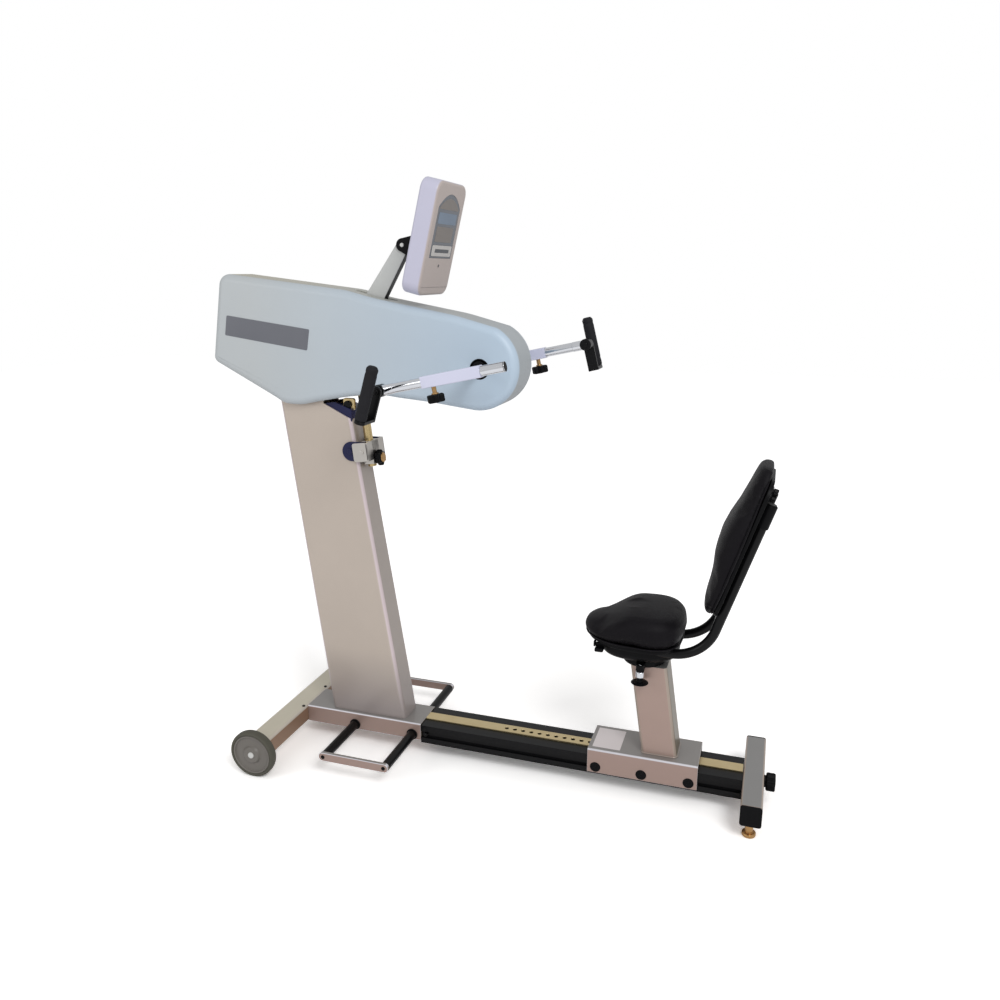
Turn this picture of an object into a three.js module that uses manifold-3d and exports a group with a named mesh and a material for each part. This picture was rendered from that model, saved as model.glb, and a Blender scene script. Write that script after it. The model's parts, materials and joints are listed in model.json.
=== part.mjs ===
// Arm ergometer: a crank head on a leaning column, with a seat that slides on a rail behind it.
// Millimetres, +Z up. The rail runs along +X, the near side is -Y.
import * as THREE from "three";
import { mergeVertices } from "three/addons/utils/BufferGeometryUtils.js";
import Module from "manifold-3d";

const wasm = await Module();
wasm.setup();

// Clearances
const gap = 0.3;
const slip = 0.6;
const weldSink = 1;

// Segment counts of round stretches
const fineSides = 20;
const roundSides = 12;
const pinSides = 8;
const cornerCurve = 3;
const plainCurve = 6;
const roundCurve = 10;

// Base box and wheel cross tube
const boxStartX = 28;
const boxLength = 329;
const boxWidth = 100;
const boxUnderside = 43;
const boxHeight = 48;
const boxWall = 4;
const boxCorner = 5;
const spigotLength = 38;
const crossTubeDepth = 62;
const crossTubeLength = 480;
const crossTubeCorner = 9;

// Wheels
const wheelRadius = 60;
const wheelTread = 24;
const wheelSetback = 33.5;
const wheelClearance = 4;
const tyreDepth = 14;
const tyreShoulder = 5;
const wheelWeb = 8;
const wheelRimDepth = 6;
const hubRadius = 22;
const hubCapRadius = 11;
const hubCapRise = 2;
const axleRadius = 8;
const axleLength = 22;

// Foot rests
const footRodRadius = 11.5;
const footRodHeight = 59;
const footRodReach = 211;
const frontRodInset = 24;
const rodSpacing = 164;
const footBarThickness = 10;
const footBarHeight = 22;
const footBarOverhang = 14;
const footBarRise = 2;

// Column
const columnRearFoot = 70;
const columnFootLength = 212;
const columnTopLength = 190;
const columnLean = 6.85;
const shoulderDrop = 72;
const columnStubHeight = 102;
const columnCutRise = 36;
const columnCutLength = 72;
const columnWidth = 76;
const columnCorner = 12;
const columnWall = 4;

// Rail
const railLength = 800;
const railWidth = 100;
const railUnderside = 39;
const railHeight = 49;
const railWall = 5;
const grooveDepth = 8;
const grooveHeight = 18;
const grooveCentre = 63;
const railEndWeb = 8;
const stripWidth = 32;
const stripThickness = 3;
const stripInset = 22;
const indexHoleRadius = 4.6;
const indexPitch = 21.6;
const indexHoleCount = 27;
const firstHoleInset = 110;
const slotWidth = 14;
const bumperLength = 36;
const bumperWidth = 64;
const bumperHeight = 13;
const bumperInset = 22;

// Rear crossbar
const crossbarLength = 307;
const crossbarDepth = 47;
const crossbarHeight = 50;
const crossbarUnderside = 42;
const crossbarWall = 4;
const crossbarCorner = 6;
const endCapThickness = 5;
const endPlugDepth = 14;
const footSpread = 120;
const footSetback = 22;
const footRadius = 15.5;
const footDiscHeight = 9;
const footNutRadius = 9;
const footNutHeight = 22;
const footStemRadius = 5;
const footStemTop = 66;
const crossbarKnobHeight = 66;
const knobStemRadius = 5;
const bigKnobRadius = 23;
const bigKnobLength = 21;
const washerRadius = 14;
const washerThickness = 4;
const lobeCount = 6;
const lobeDepth = 2.4;

// Carriage
const carriageStart = 440;
const carriageLength = 260;
const carriageWidth = 119.2;
const carriageUnderside = 47.7;
const carriageTop = 109.7;
const carriageWall = 5;
const carriageRoof = 13;
const carriageCorner = 10;
const glideInset = 6;
const plugRadius = 12.5;
const plugProud = 1.5;
const plugInset = 20;
const indexPinRadius = 3.6;
const indexPinHeadRadius = 8;
const indexPinLength = 62;
const indexPinHeadLength = 10;
const indexPinRest = 1;

// Seat post and swivel
const postFootLength = 84;
const postFootCentre = 167;
const postWidth = 78;
const postHeight = 224;
const postLean = 8.6;
const postWall = 4;
const postCorner = 10;
const swivelCentre = 118;
const swivelRadius = 48;
const swivelHeight = 8.4;
const swivelStubRadius = 22;
const swivelStubHeight = 7;
const plungerSetout = 61;
const plungerHousingRadius = 10;
const plungerHousingDrop = 2;
const plungerPinRadius = 4.5;
const plungerNeckRadius = 6.5;
const plungerNeckLength = 14;
const plungerKnobRadius = 20;
const plungerKnobThickness = 7;
const plungerTravel = 9;
const swivelStops = 4;

// Seat
const seatLength = 240;
const seatFront = 145;
const seatHalfWidth = 126;
const seatFrontHalfWidth = 60;
const seatThickness = 71;
const seatFrontDrop = 36;
const seatCrown = 5;
const seatEdge = 14;
const seatPoints = 28;
const panThickness = 8;
const panInset = 14;
const panSocketStart = 16;
const panSocketLength = 46;
const panSocketWall = 3.5;
const trayDepth = 40.6;
const trayHalfLength = 92;
const trayHalfWidth = 74;
const trayWall = 3.5;
const trayAhead = 10;
const barAxisDrop = 8;
const leverWidth = 20;
const leverReach = 18;
const leverThickness = 9;
const leverDrop = 5;
const leverAhead = 95;
const leverAside = 57;
const leverPinRadius = 3;
const leverLugThickness = 4;
const leverLugHeight = 13;

// Backrest
const barRadius = 11;
const barSpacing = 114;
const barStart = 22;
const barBendStart = 68;
const barBendRadius = 97;
const barBendSteps = 8;
const barUprightLength = 313;
const barTieRadius = 6.5;
const backLean = 18;
const boardThickness = 8;
const boardHalfWidth = 96;
const boardCorner = 40;
const backCushionLow = 16;
const backCushionLength = 364;
const backHalfWidth = 118;
const backDepth = 48;
const backWing = 4;
const backPoints = 24;
const socketWall = 2.5;
const socketLow = 258;
const socketLength = 52;
const socketBarHeight = 26;
const knobPadHeight = 32;
const knobPadWidth = 38;
const knobPadInset = 4;
const backKnobRise = 317;
const backKnobRadius = 16;
const backKnobLength = 11;
const backKnobStem = 8;

// Head
const pivotInset = 66.59;
const pivotHeight = 945;
const pivotBoltRadius = 8;
const headLength = 790;
const headHeight = 308;
const headWidth = 125.4;
const headEdge = 18;
const headWall = 3.5;
const shellBossRadius = 8;
const headRear = 231;
const headDrop = 41;
const headCorner = 28;
const noseRadius = 98;
const noseAhead = 461;
const noseRise = 64;
const noseStart = -100;
const noseEnd = 62;
const rearCornerStart = 83;
const rearCornerEnd = 169;
const headMouthWidth = 100;
const headMouthRear = 105;
const headMouthLength = 330;
const framePlate = 4;
const frameSpacing = 84;
const frameBossRadius = 32;
const frameTieRadius = 6;

// Crank
const crankAhead = 470.5;
const crankRise = 61;
const crankAngle = 12;
const crankShaftRadius = 10;
const hubHoleRadius = 23;
const hubCollarRadius = 21.5;
const hubCollarLength = 12;
const hubCollarProud = 1;
const armPlane = 180;
const sleeveSize = 25.4;
const sleeveTail = 47;
const sleeveReach = 88;
const armRodRadius = 11;
const armRodTail = 101;
const armRodReach = 163;
const rodEndBore = 5;
const rodEndStart = 157;
const rodEndRadius = 14;
const rodEndWidth = 26;
const handlePivotReach = 191;
const lockKnobReach = 65.5;
const lockKnobRadius = 20;
const lockKnobLength = 18;
const lockKnobDrop = 29;
const handlePlateWidth = 25;
const handlePlateThickness = 7;
const handlePlateDrop = 66;
const handlePlateSetout = 16;
const handleFootThickness = 8;
const gripSetout = 65;
const gripRadius = 13;
const gripLength = 120;
const gripSpindleRadius = 5;
const nearHandleTilt = 17;
const farHandleTilt = -14;

// Pulley, belt and flywheel
const pulleyRadius = 68;
const pulleyWidth = 14;
const beltPlane = -24;
const beltWidth = 12;
const beltThickness = 3;
const flywheelAhead = 208;
const flywheelRise = 91;
const flywheelRadius = 80;
const flywheelRimWidth = 18;
const flywheelRimDepth = 18;
const flywheelWeb = 6;
const flywheelPlane = 14;
const smallPulleyRadius = 22;
const flywheelShaftRadius = 8;

// Console
const consoleArmFootAhead = 196;
const consoleArmFootRise = 222;
const consoleArmWidth = 42;
const consoleArmThickness = 20;
const consoleArmEndRadius = 15;
const consolePivotAhead = 271;
const consolePivotRise = 329;
const consolePinRadius = 4;
const consoleCheek = 5;
const consoleTilt = 14;
const consoleStandoff = 54;
const consoleWidth = 170;
const consoleHeight = 232;
const consoleDepth = 31;
const consoleBelow = 84;
const consoleCorner = 26;
const consoleEdge = 6;
const screenWidth = 96;
const screenHeight = 150;
const screenThickness = 3;
const screenRise = 42;
const kneePlateWidth = 44;
const kneePlateHeight = 56;
const kneePlateThickness = 5;

// Tilt strut and clamp
const strutEyeAhead = 144;
const strutPinRadius = 5;
const strutEyePlay = 1.4;
const strutEyeRadius = 12;
const strutEyeWidth = 12;
const clampSetout = 17.38;
const strutDrop = 150;
const strutRadius = 10.5;
const strutTail = 42;
const cheekThickness = 3.8;
const cheekRadius = 24;
const cheekReach = 31;
const yokeBoltRadius = 4;
const clampHeight = 46;
const clampLowReach = 34;
const clampArmThickness = 3.6;
const clampArmBack = 24;
const clampCoreWidth = 40;
const clampWall = 3.5;
const clampPinRadius = 5;
const clampKnobDrop = 22;
const clampKnobRadius = 22.5;
const clampKnobLength = 18;

const degrees = THREE.MathUtils.degToRad;
const vector = (x, y, z) => new THREE.Vector3(x, y, z);

// Materials
const finish = (color, roughness, metalness) =>
  new THREE.MeshStandardMaterial({ color, roughness, metalness });
const silverPaint = finish(0xcbbfb4, 0.42, 0.25);
const shellPaint = finish(0xc9cfd8, 0.45, 0);
const blackPaint = finish(0x17171a, 0.4, 0.1);
const navyPaint = finish(0x1c2544, 0.4, 0.3);
const blackPlastic = finish(0x141416, 0.55, 0);
const rubber = finish(0x2c3230, 0.85, 0);
const wheelGrey = finish(0xa4a9aa, 0.5, 0);
const chrome = finish(0xd6dade, 0.12, 1);
const zinc = finish(0xc9a552, 0.3, 0.9);
const brass = finish(0xb98d4f, 0.3, 0.9);
const brightMetal = finish(0xc8c4bd, 0.35, 0.8);
const vinyl = finish(0x131214, 0.6, 0);
const screenGrey = finish(0x3a3d44, 0.3, 0);

// Solids

function solidOf(geometry) {
  const plain = geometry.clone();
  plain.deleteAttribute("normal");
  plain.deleteAttribute("uv");
  const merged = mergeVertices(plain);
  return new wasm.Manifold(
    new wasm.Mesh({
      numProp: 3,
      vertProperties: merged.attributes.position.array,
      triVerts: new Uint32Array(merged.index.array),
    }),
  );
}

function geometryOf(solid) {
  const mesh = solid.getMesh();
  const geometry = new THREE.BufferGeometry();
  geometry.setAttribute("position", new THREE.BufferAttribute(mesh.vertProperties, 3));
  geometry.setIndex(new THREE.BufferAttribute(mesh.triVerts, 1));
  const flat = geometry.toNonIndexed();
  flat.computeVertexNormals();
  return flat;
}

function joined(...geometries) {
  return geometryOf(geometries.map(solidOf).reduce((whole, next) => whole.add(next)));
}

function without(geometry, ...tools) {
  return geometryOf(tools.map(solidOf).reduce((whole, next) => whole.subtract(next), solidOf(geometry)));
}

function block([x0, x1], [y0, y1], [z0, z1]) {
  return new THREE.BoxGeometry(x1 - x0, y1 - y0, z1 - z0).translate(
    (x0 + x1) / 2,
    (y0 + y1) / 2,
    (z0 + z1) / 2,
  );
}

// A round bar from one point to another.
function bar(from, to, radius, sides = roundSides) {
  const span = to.clone().sub(from);
  const turn = new THREE.Quaternion().setFromUnitVectors(vector(0, 1, 0), span.clone().normalize());
  return new THREE.CylinderGeometry(radius, radius, span.length(), sides)
    .applyQuaternion(turn)
    .translate((from.x + to.x) / 2, (from.y + to.y) / 2, (from.z + to.z) / 2);
}

// The tool for a round hole whose flats still clear its radius.
function bore(from, to, radius, sides = roundSides) {
  return bar(from, to, radius / Math.cos(Math.PI / sides), sides);
}

const halfTurn = new THREE.Matrix4().makeRotationZ(Math.PI);

// A solid of revolution about a line: the profile holds [radius, distance along the axis].
function turned(profile, origin, axis, sides = fineSides) {
  const points = profile.map(([radius, along]) => new THREE.Vector2(radius, along));
  const turn = new THREE.Quaternion().setFromUnitVectors(vector(0, 1, 0), axis.clone().normalize());
  return new THREE.LatheGeometry(points, sides)
    .applyQuaternion(turn)
    .translate(origin.x, origin.y, origin.z);
}

// An outline in the XZ plane, pushed through from y0 to y1.
function pressed(shape, [y0, y1], options = {}) {
  const edge = options.bevelThickness ?? 0;
  const settings = { bevelEnabled: false, curveSegments: plainCurve, ...options };
  settings.depth = y1 - y0 - 2 * edge;
  return new THREE.ExtrudeGeometry(shape, settings).rotateX(Math.PI / 2).translate(0, y1 - edge, 0);
}

function outline(points) {
  return new THREE.Shape(points.map(([x, z]) => new THREE.Vector2(x, z)));
}

function roundedOutline([x0, x1], [z0, z1], radius) {
  const shape = new THREE.Shape();
  const quarter = Math.PI / 2;
  shape.absarc(x1 - radius, z0 + radius, radius, -quarter, 0, false);
  shape.absarc(x1 - radius, z1 - radius, radius, 0, quarter, false);
  shape.absarc(x0 + radius, z1 - radius, radius, quarter, 2 * quarter, false);
  shape.absarc(x0 + radius, z0 + radius, radius, 2 * quarter, 3 * quarter, false);
  return shape;
}

// A bar with a rounded YZ section along X, from x0 to x1.
function roundedBarX([x0, x1], [y0, y1], [z0, z1], radius, segments = cornerCurve) {
  const shape = roundedOutline([y0, y1], [z0, z1], radius);
  return new THREE.ExtrudeGeometry(shape, {
    depth: x1 - x0,
    bevelEnabled: false,
    curveSegments: segments,
  })
    .applyMatrix4(new THREE.Matrix4().makeBasis(vector(0, 1, 0), vector(0, 0, 1), vector(1, 0, 0)))
    .translate(x0, 0, 0);
}

// A skin over rings of points with equal counts, closed by a fan at each end.
function lofted(rings) {
  const count = rings[0].length;
  const points = rings.flat();
  const faces = [];
  for (let ring = 0; ring + 1 < rings.length; ring += 1) {
    for (let side = 0; side < count; side += 1) {
      const a = ring * count + side;
      const b = ring * count + ((side + 1) % count);
      faces.push(a, b, b + count, a, b + count, a + count);
    }
  }
  const last = (rings.length - 1) * count;
  for (let side = 1; side + 1 < count; side += 1) {
    faces.push(0, side + 1, side);
    faces.push(last, last + side, last + side + 1);
  }
  let volume = 0;
  for (let i = 0; i < faces.length; i += 3) {
    const [a, b, c] = [points[faces[i]], points[faces[i + 1]], points[faces[i + 2]]];
    volume += a.dot(b.clone().cross(c));
  }
  if (volume < 0) faces.reverse();
  const geometry = new THREE.BufferGeometry().setFromPoints(points);
  geometry.setIndex(faces);
  return geometry;
}

// A level rounded rectangle of points round (x, y) at one height.
function levelRing(x, y, height, halfLength, halfWidth, radius, segments = cornerCurve) {
  const ring = [];
  for (let corner = 0; corner < 4; corner += 1) {
    const alongX = corner === 0 || corner === 3 ? 1 : -1;
    const alongY = corner < 2 ? 1 : -1;
    for (let step = 0; step <= segments; step += 1) {
      const angle = ((corner + step / segments) * Math.PI) / 2;
      ring.push(
        vector(
          x + alongX * (halfLength - radius) + radius * Math.cos(angle),
          y + alongY * (halfWidth - radius) + radius * Math.sin(angle),
          height,
        ),
      );
    }
  }
  return ring;
}

const knobEdgeShare = 1 / 6;

// A grip knob with shallow lobes along +Z, on a stem that reaches below zero.
function lobedKnob(radius, length, stemRadius, stemLength) {
  const shape = new THREE.Shape();
  const steps = 4 * lobeCount;
  for (let step = 0; step <= steps; step += 1) {
    const angle = (2 * Math.PI * step) / steps;
    const reach = radius - lobeDepth + lobeDepth * Math.cos(lobeCount * angle);
    const point = [reach * Math.cos(angle), reach * Math.sin(angle)];
    if (step === 0) shape.moveTo(...point);
    else if (step < steps) shape.lineTo(...point);
  }
  const edge = knobEdgeShare * length;
  const head = new THREE.ExtrudeGeometry(shape, {
    depth: length - 2 * edge,
    bevelEnabled: true,
    bevelThickness: edge,
    bevelSize: edge,
    bevelOffset: -edge,
    bevelSegments: 1,
  }).translate(0, 0, edge);
  return joined(head, bar(vector(0, 0, -stemLength), vector(0, 0, edge), stemRadius, pinSides));
}

const model = new THREE.Group();

function place(name, geometry, material, parent = model) {
  const mesh = new THREE.Mesh(geometry, material);
  mesh.name = name;
  parent.add(mesh);
  return mesh;
}

function frameAt(parent, x, y, z, turnY = 0) {
  const frame = new THREE.Group();
  frame.position.set(x, y, z);
  frame.rotation.y = turnY;
  parent.add(frame);
  return frame;
}

const sides = [
  { name: "near", sign: -1 },
  { name: "far", sign: 1 },
];

// Places worked out from the sizes
const boxEndX = boxStartX + boxLength;
const boxTop = boxUnderside + boxHeight;
const railEndX = boxEndX + railLength;
const railTop = railUnderside + railHeight;
const wheelPlane = crossTubeLength / 2 + wheelClearance;
const wheelX = boxStartX - wheelSetback;
const columnShoulderHeight = pivotHeight - shoulderDrop - boxTop;
const clampPivotHeight = pivotHeight - strutDrop;
const rodXs = [boxEndX - frontRodInset - rodSpacing, boxEndX - frontRodInset];

function makeBase() {
  const half = boxWidth / 2;
  const heights = [boxUnderside, boxTop];
  const span = [boxStartX + gap, boxEndX];
  const rodHoles = rodXs.map((x) =>
    bore(vector(x, -boxWidth, footRodHeight), vector(x, boxWidth, footRodHeight), footRodRadius + gap),
  );
  const hollow = block(
    [boxStartX - gap, boxEndX - 2 * boxWall],
    [-half + boxWall, half - boxWall],
    [boxUnderside + boxWall, boxTop - boxWall],
  );
  const cavityHalf = railWidth / 2 - grooveDepth - railWall - slip;
  const spigot = block(
    [boxEndX - boxWall, boxEndX + spigotLength],
    [-cavityHalf, cavityHalf],
    [railUnderside + railWall + slip, railTop - railWall - slip],
  );
  const tube = roundedBarX(span, [-half, half], heights, boxCorner);
  place("base_box", without(joined(tube, spigot), hollow, ...rodHoles), silverPaint);

  const reach = crossTubeLength / 2;
  const crossBody = pressed(
    roundedOutline([boxStartX - crossTubeDepth, boxStartX], heights, crossTubeCorner),
    [-reach, reach],
  );
  const axleEnd = wheelPlane + axleLength;
  const axle = bar(
    vector(wheelX, -axleEnd, wheelRadius),
    vector(wheelX, axleEnd, wheelRadius),
    axleRadius,
  );
  place("wheel_cross_tube", joined(crossBody, axle), silverPaint);
}

function makeWheel({ name, sign }) {
  const hub = frameAt(model, wheelX, sign * wheelPlane, wheelRadius);
  const outward = vector(0, sign, 0);
  const rimRadius = wheelRadius - tyreDepth;
  const tyre = [
    [rimRadius + gap, 0],
    [wheelRadius - tyreShoulder, 0],
    [wheelRadius, tyreShoulder],
    [wheelRadius, wheelTread - tyreShoulder],
    [wheelRadius - tyreShoulder, wheelTread],
    [rimRadius + gap, wheelTread],
    [rimRadius + gap, 0],
  ];
  const middle = wheelTread / 2;
  const inset = (wheelTread - wheelWeb) / 2;
  const disc = [
    [axleRadius + gap, 0],
    [hubRadius, 0],
    [hubRadius, inset],
    [rimRadius - wheelRimDepth, inset],
    [rimRadius - wheelRimDepth, weldSink],
    [rimRadius, weldSink],
    [rimRadius, wheelTread - weldSink],
    [rimRadius - wheelRimDepth, wheelTread - weldSink],
    [rimRadius - wheelRimDepth, middle + wheelWeb / 2],
    [hubRadius, middle + wheelWeb / 2],
    [hubRadius - hubCapRise, wheelTread],
    [hubCapRadius, wheelTread],
    [hubCapRadius - hubCapRise, wheelTread + hubCapRise],
    [0, wheelTread + hubCapRise],
    [0, axleLength + gap],
    [axleRadius + gap, axleLength + gap],
    [axleRadius + gap, 0],
  ];
  const origin = vector(0, 0, 0);
  place(`tyre_${name}`, turned(tyre, origin, outward), rubber, hub);
  place(`wheel_disc_${name}`, turned(disc, origin, outward), wheelGrey, hub);
}

function makeFootRests() {
  rodXs.forEach((x, index) => {
    const name = index === 0 ? "foot_rod_front" : "foot_rod_rear";
    const reach = footRodReach - gap;
    const rod = bar(vector(0, -reach, 0), vector(0, reach, 0), footRodRadius);
    place(name, rod, blackPaint).position.set(x, 0, footRodHeight);
  });
  const half = (rodSpacing + 2 * (footRodRadius + footBarOverhang)) / 2;
  const round = (footBarHeight - weldSink) / 2;
  for (const { name, sign } of sides) {
    const shape = roundedOutline([-half, half], [-footBarHeight / 2, footBarHeight / 2], round / 2);
    const across = [-footBarThickness / 2, footBarThickness / 2];
    const mesh = place(`foot_bar_${name}`, pressed(shape, across), silverPaint);
    mesh.position.set(
      (rodXs[0] + rodXs[1]) / 2,
      sign * (footRodReach + footBarThickness / 2),
      footRodHeight + footBarRise,
    );
  }
}

// The column's rear and front edges at a height above its foot.
const columnTaper = (columnFootLength - columnTopLength) / columnShoulderHeight;
const columnRearX = (rise) => boxStartX + columnRearFoot - rise * Math.tan(degrees(columnLean));
const columnFrontX = (rise) => columnRearX(rise) + columnFootLength - rise * columnTaper;
const clampRise = clampPivotHeight - boxTop;
const pivotX = columnRearX(pivotHeight - boxTop) + pivotInset;
const yokeX = columnFrontX(clampRise) - cheekReach / 2;
const clampPivotX = columnFrontX(clampRise) + clampSetout;

function makeColumn() {
  const top = columnShoulderHeight + columnCutRise + columnStubHeight;
  const tube = (wall, low, high) =>
    lofted(
      [low, high].map((rise) => {
        const halfLength = (columnFrontX(rise) - columnRearX(rise)) / 2 - wall;
        const middle = (columnFrontX(rise) + columnRearX(rise)) / 2;
        return levelRing(middle, 0, boxTop + rise, halfLength, columnWidth / 2 - wall, columnCorner - wall);
      }),
    );
  const frontX = columnFrontX(columnShoulderHeight);
  const cutX = frontX - columnCutLength;
  const cutHeight = boxTop + columnShoulderHeight;
  const over = columnFootLength;
  const cut = outline([
    [frontX + over, cutHeight - (over * columnCutRise) / columnCutLength],
    [frontX + over, boxTop + top + over],
    [cutX, boxTop + top + over],
    [cutX, cutHeight + columnCutRise],
  ]);
  const bolt = bore(
    vector(pivotX, -columnWidth, pivotHeight),
    vector(pivotX, columnWidth, pivotHeight),
    pivotBoltRadius + gap,
  );
  const yokeBolt = bore(
    vector(yokeX, -columnWidth, clampPivotHeight),
    vector(yokeX, columnWidth, clampPivotHeight),
    yokeBoltRadius + gap,
    pinSides,
  );
  const hollow = tube(columnWall, -columnWall, top + columnWall);
  const notch = pressed(cut, [-columnWidth, columnWidth]);
  const solid = without(tube(0, gap, top), hollow, notch, bolt, yokeBolt);
  place("column", solid, silverPaint);

  const reach = frameSpacing / 2 + framePlate + weldSink;
  const shaft = bar(vector(0, -reach, 0), vector(0, reach, 0), pivotBoltRadius);
  place("head_pivot_bolt", shaft, brightMetal).position.set(pivotX, 0, pivotHeight);
}

function makeRail() {
  const half = railWidth / 2;
  const span = [boxEndX + gap, railEndX];
  const body = block(span, [-half, half], [railUnderside, railTop]);
  const innerHalf = half - grooveDepth - railWall;
  const cavity = block(
    [boxEndX - gap, railEndX - railEndWeb],
    [-innerHalf, innerHalf],
    [railUnderside + railWall, railTop - railWall],
  );
  const grooves = sides.map(({ sign }) =>
    block(
      [boxEndX + spigotLength, railEndX + gap],
      [sign * half - grooveDepth, sign * half + grooveDepth],
      [grooveCentre - grooveHeight / 2, grooveCentre + grooveHeight / 2],
    ),
  );
  const slotStart = boxEndX + firstHoleInset - indexPitch;
  const slotEnd = slotStart + (indexHoleCount + 1) * indexPitch;
  const slotHeights = [railTop - 2 * railWall, railTop + gap];
  const slot = block([slotStart, slotEnd], [-slotWidth / 2, slotWidth / 2], slotHeights);
  const studHole = bore(
    vector(railEndX - 2 * railEndWeb, 0, crossbarKnobHeight),
    vector(railEndX + gap, 0, crossbarKnobHeight),
    knobStemRadius + gap,
    pinSides,
  );
  place("rail", without(body, cavity, ...grooves, slot, studHole), blackPaint);

  const strip = new THREE.Shape();
  const stripStart = boxEndX + stripInset;
  const stripEnd = railEndX - stripInset;
  strip.moveTo(stripStart, -stripWidth / 2);
  strip.lineTo(stripEnd, -stripWidth / 2);
  strip.lineTo(stripEnd, stripWidth / 2);
  strip.lineTo(stripStart, stripWidth / 2);
  for (let hole = 0; hole < indexHoleCount; hole += 1) {
    const centre = boxEndX + firstHoleInset + hole * indexPitch;
    const ring = new THREE.Path();
    ring.absarc(centre, 0, indexHoleRadius, 0, 2 * Math.PI, true);
    strip.holes.push(ring);
  }
  const stripSolid = new THREE.ExtrudeGeometry(strip, {
    depth: stripThickness,
    bevelEnabled: false,
    curveSegments: cornerCurve,
  });
  place("rail_index_strip", stripSolid, brightMetal).position.set(0, 0, railTop + gap);

  const bumperEnd = railEndX - bumperInset;
  const bumper = roundedBarX(
    [0, bumperLength],
    [-bumperWidth / 2, bumperWidth / 2],
    [0, bumperHeight],
    bumperHeight / 3,
    2,
  );
  place("rail_bumper", bumper, rubber).position.set(
    bumperEnd - bumperLength,
    0,
    railUnderside - gap - bumperHeight,
  );
}

function makeCrossbar() {
  const startX = railEndX + gap;
  const half = crossbarLength / 2 - endCapThickness;
  const depths = [startX, startX + crossbarDepth];
  const heights = [crossbarUnderside, crossbarUnderside + crossbarHeight];
  const outline = roundedOutline(depths, heights, crossbarCorner);
  const body = pressed(outline, [-half, half], { curveSegments: cornerCurve });
  const hollow = block(
    [depths[0] + crossbarWall, depths[1] - crossbarWall],
    [-crossbarLength, crossbarLength],
    [heights[0] + crossbarWall, heights[1] - crossbarWall],
  );
  const footX = startX + footSetback;
  const footHoles = sides.map(({ sign }) =>
    bore(
      vector(footX, sign * footSpread, 0),
      vector(footX, sign * footSpread, heights[0] + 2 * crossbarWall),
      footStemRadius + gap,
      pinSides,
    ),
  );
  const knobHole = bore(
    vector(startX - crossbarWall, 0, crossbarKnobHeight),
    vector(depths[1] + crossbarWall, 0, crossbarKnobHeight),
    knobStemRadius + gap,
    pinSides,
  );
  place("rear_crossbar", without(body, hollow, knobHole, ...footHoles), silverPaint);

  for (const { name, sign } of sides) {
    const cap = pressed(roundedOutline(depths, heights, crossbarCorner), [0, endCapThickness - gap], {
      curveSegments: cornerCurve,
    });
    const plug = block(
      [depths[0] + crossbarWall + gap, depths[1] - crossbarWall - gap],
      [-endPlugDepth, weldSink],
      [heights[0] + crossbarWall + gap, heights[1] - crossbarWall - gap],
    );
    const solid = joined(cap, plug);
    if (sign < 0) solid.applyMatrix4(halfTurn).translate(depths[0] + depths[1], 0, 0);
    place(`crossbar_cap_${name}`, solid, blackPlastic).position.y = sign * (half + gap);

    const foot = [
      [0, 0],
      [footRadius, 0],
      [footRadius, footDiscHeight - weldSink],
      [footRadius - weldSink, footDiscHeight],
      [footNutRadius, footDiscHeight],
      [footNutRadius, footDiscHeight + footNutHeight],
      [footStemRadius, footDiscHeight + footNutHeight],
      [footStemRadius, footStemTop],
      [0, footStemTop],
    ];
    const footSolid = turned(foot, vector(0, 0, 0), vector(0, 0, 1), roundSides);
    const footMesh = place(`levelling_foot_${name}`, footSolid, brass);
    footMesh.position.set(footX, sign * footSpread, 0);
  }

  const stem = crossbarDepth + washerThickness + railEndWeb;
  const knob = lobedKnob(bigKnobRadius, bigKnobLength, knobStemRadius, stem);
  const washer = bar(vector(0, 0, -washerThickness), vector(0, 0, weldSink), washerRadius);
  const mesh = place("crossbar_knob", joined(knob, washer), blackPlastic);
  mesh.rotation.y = Math.PI / 2;
  mesh.position.set(depths[1] + gap + washerThickness, 0, crossbarKnobHeight);
}

// Carriage and everything that rides on it
const carriageX = boxEndX + carriageStart;
const carriage = frameAt(model, carriageX, 0, 0);
const postTop = carriageTop + gap + postHeight;
const swivelTop = postTop + swivelStubHeight + swivelHeight;

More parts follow.
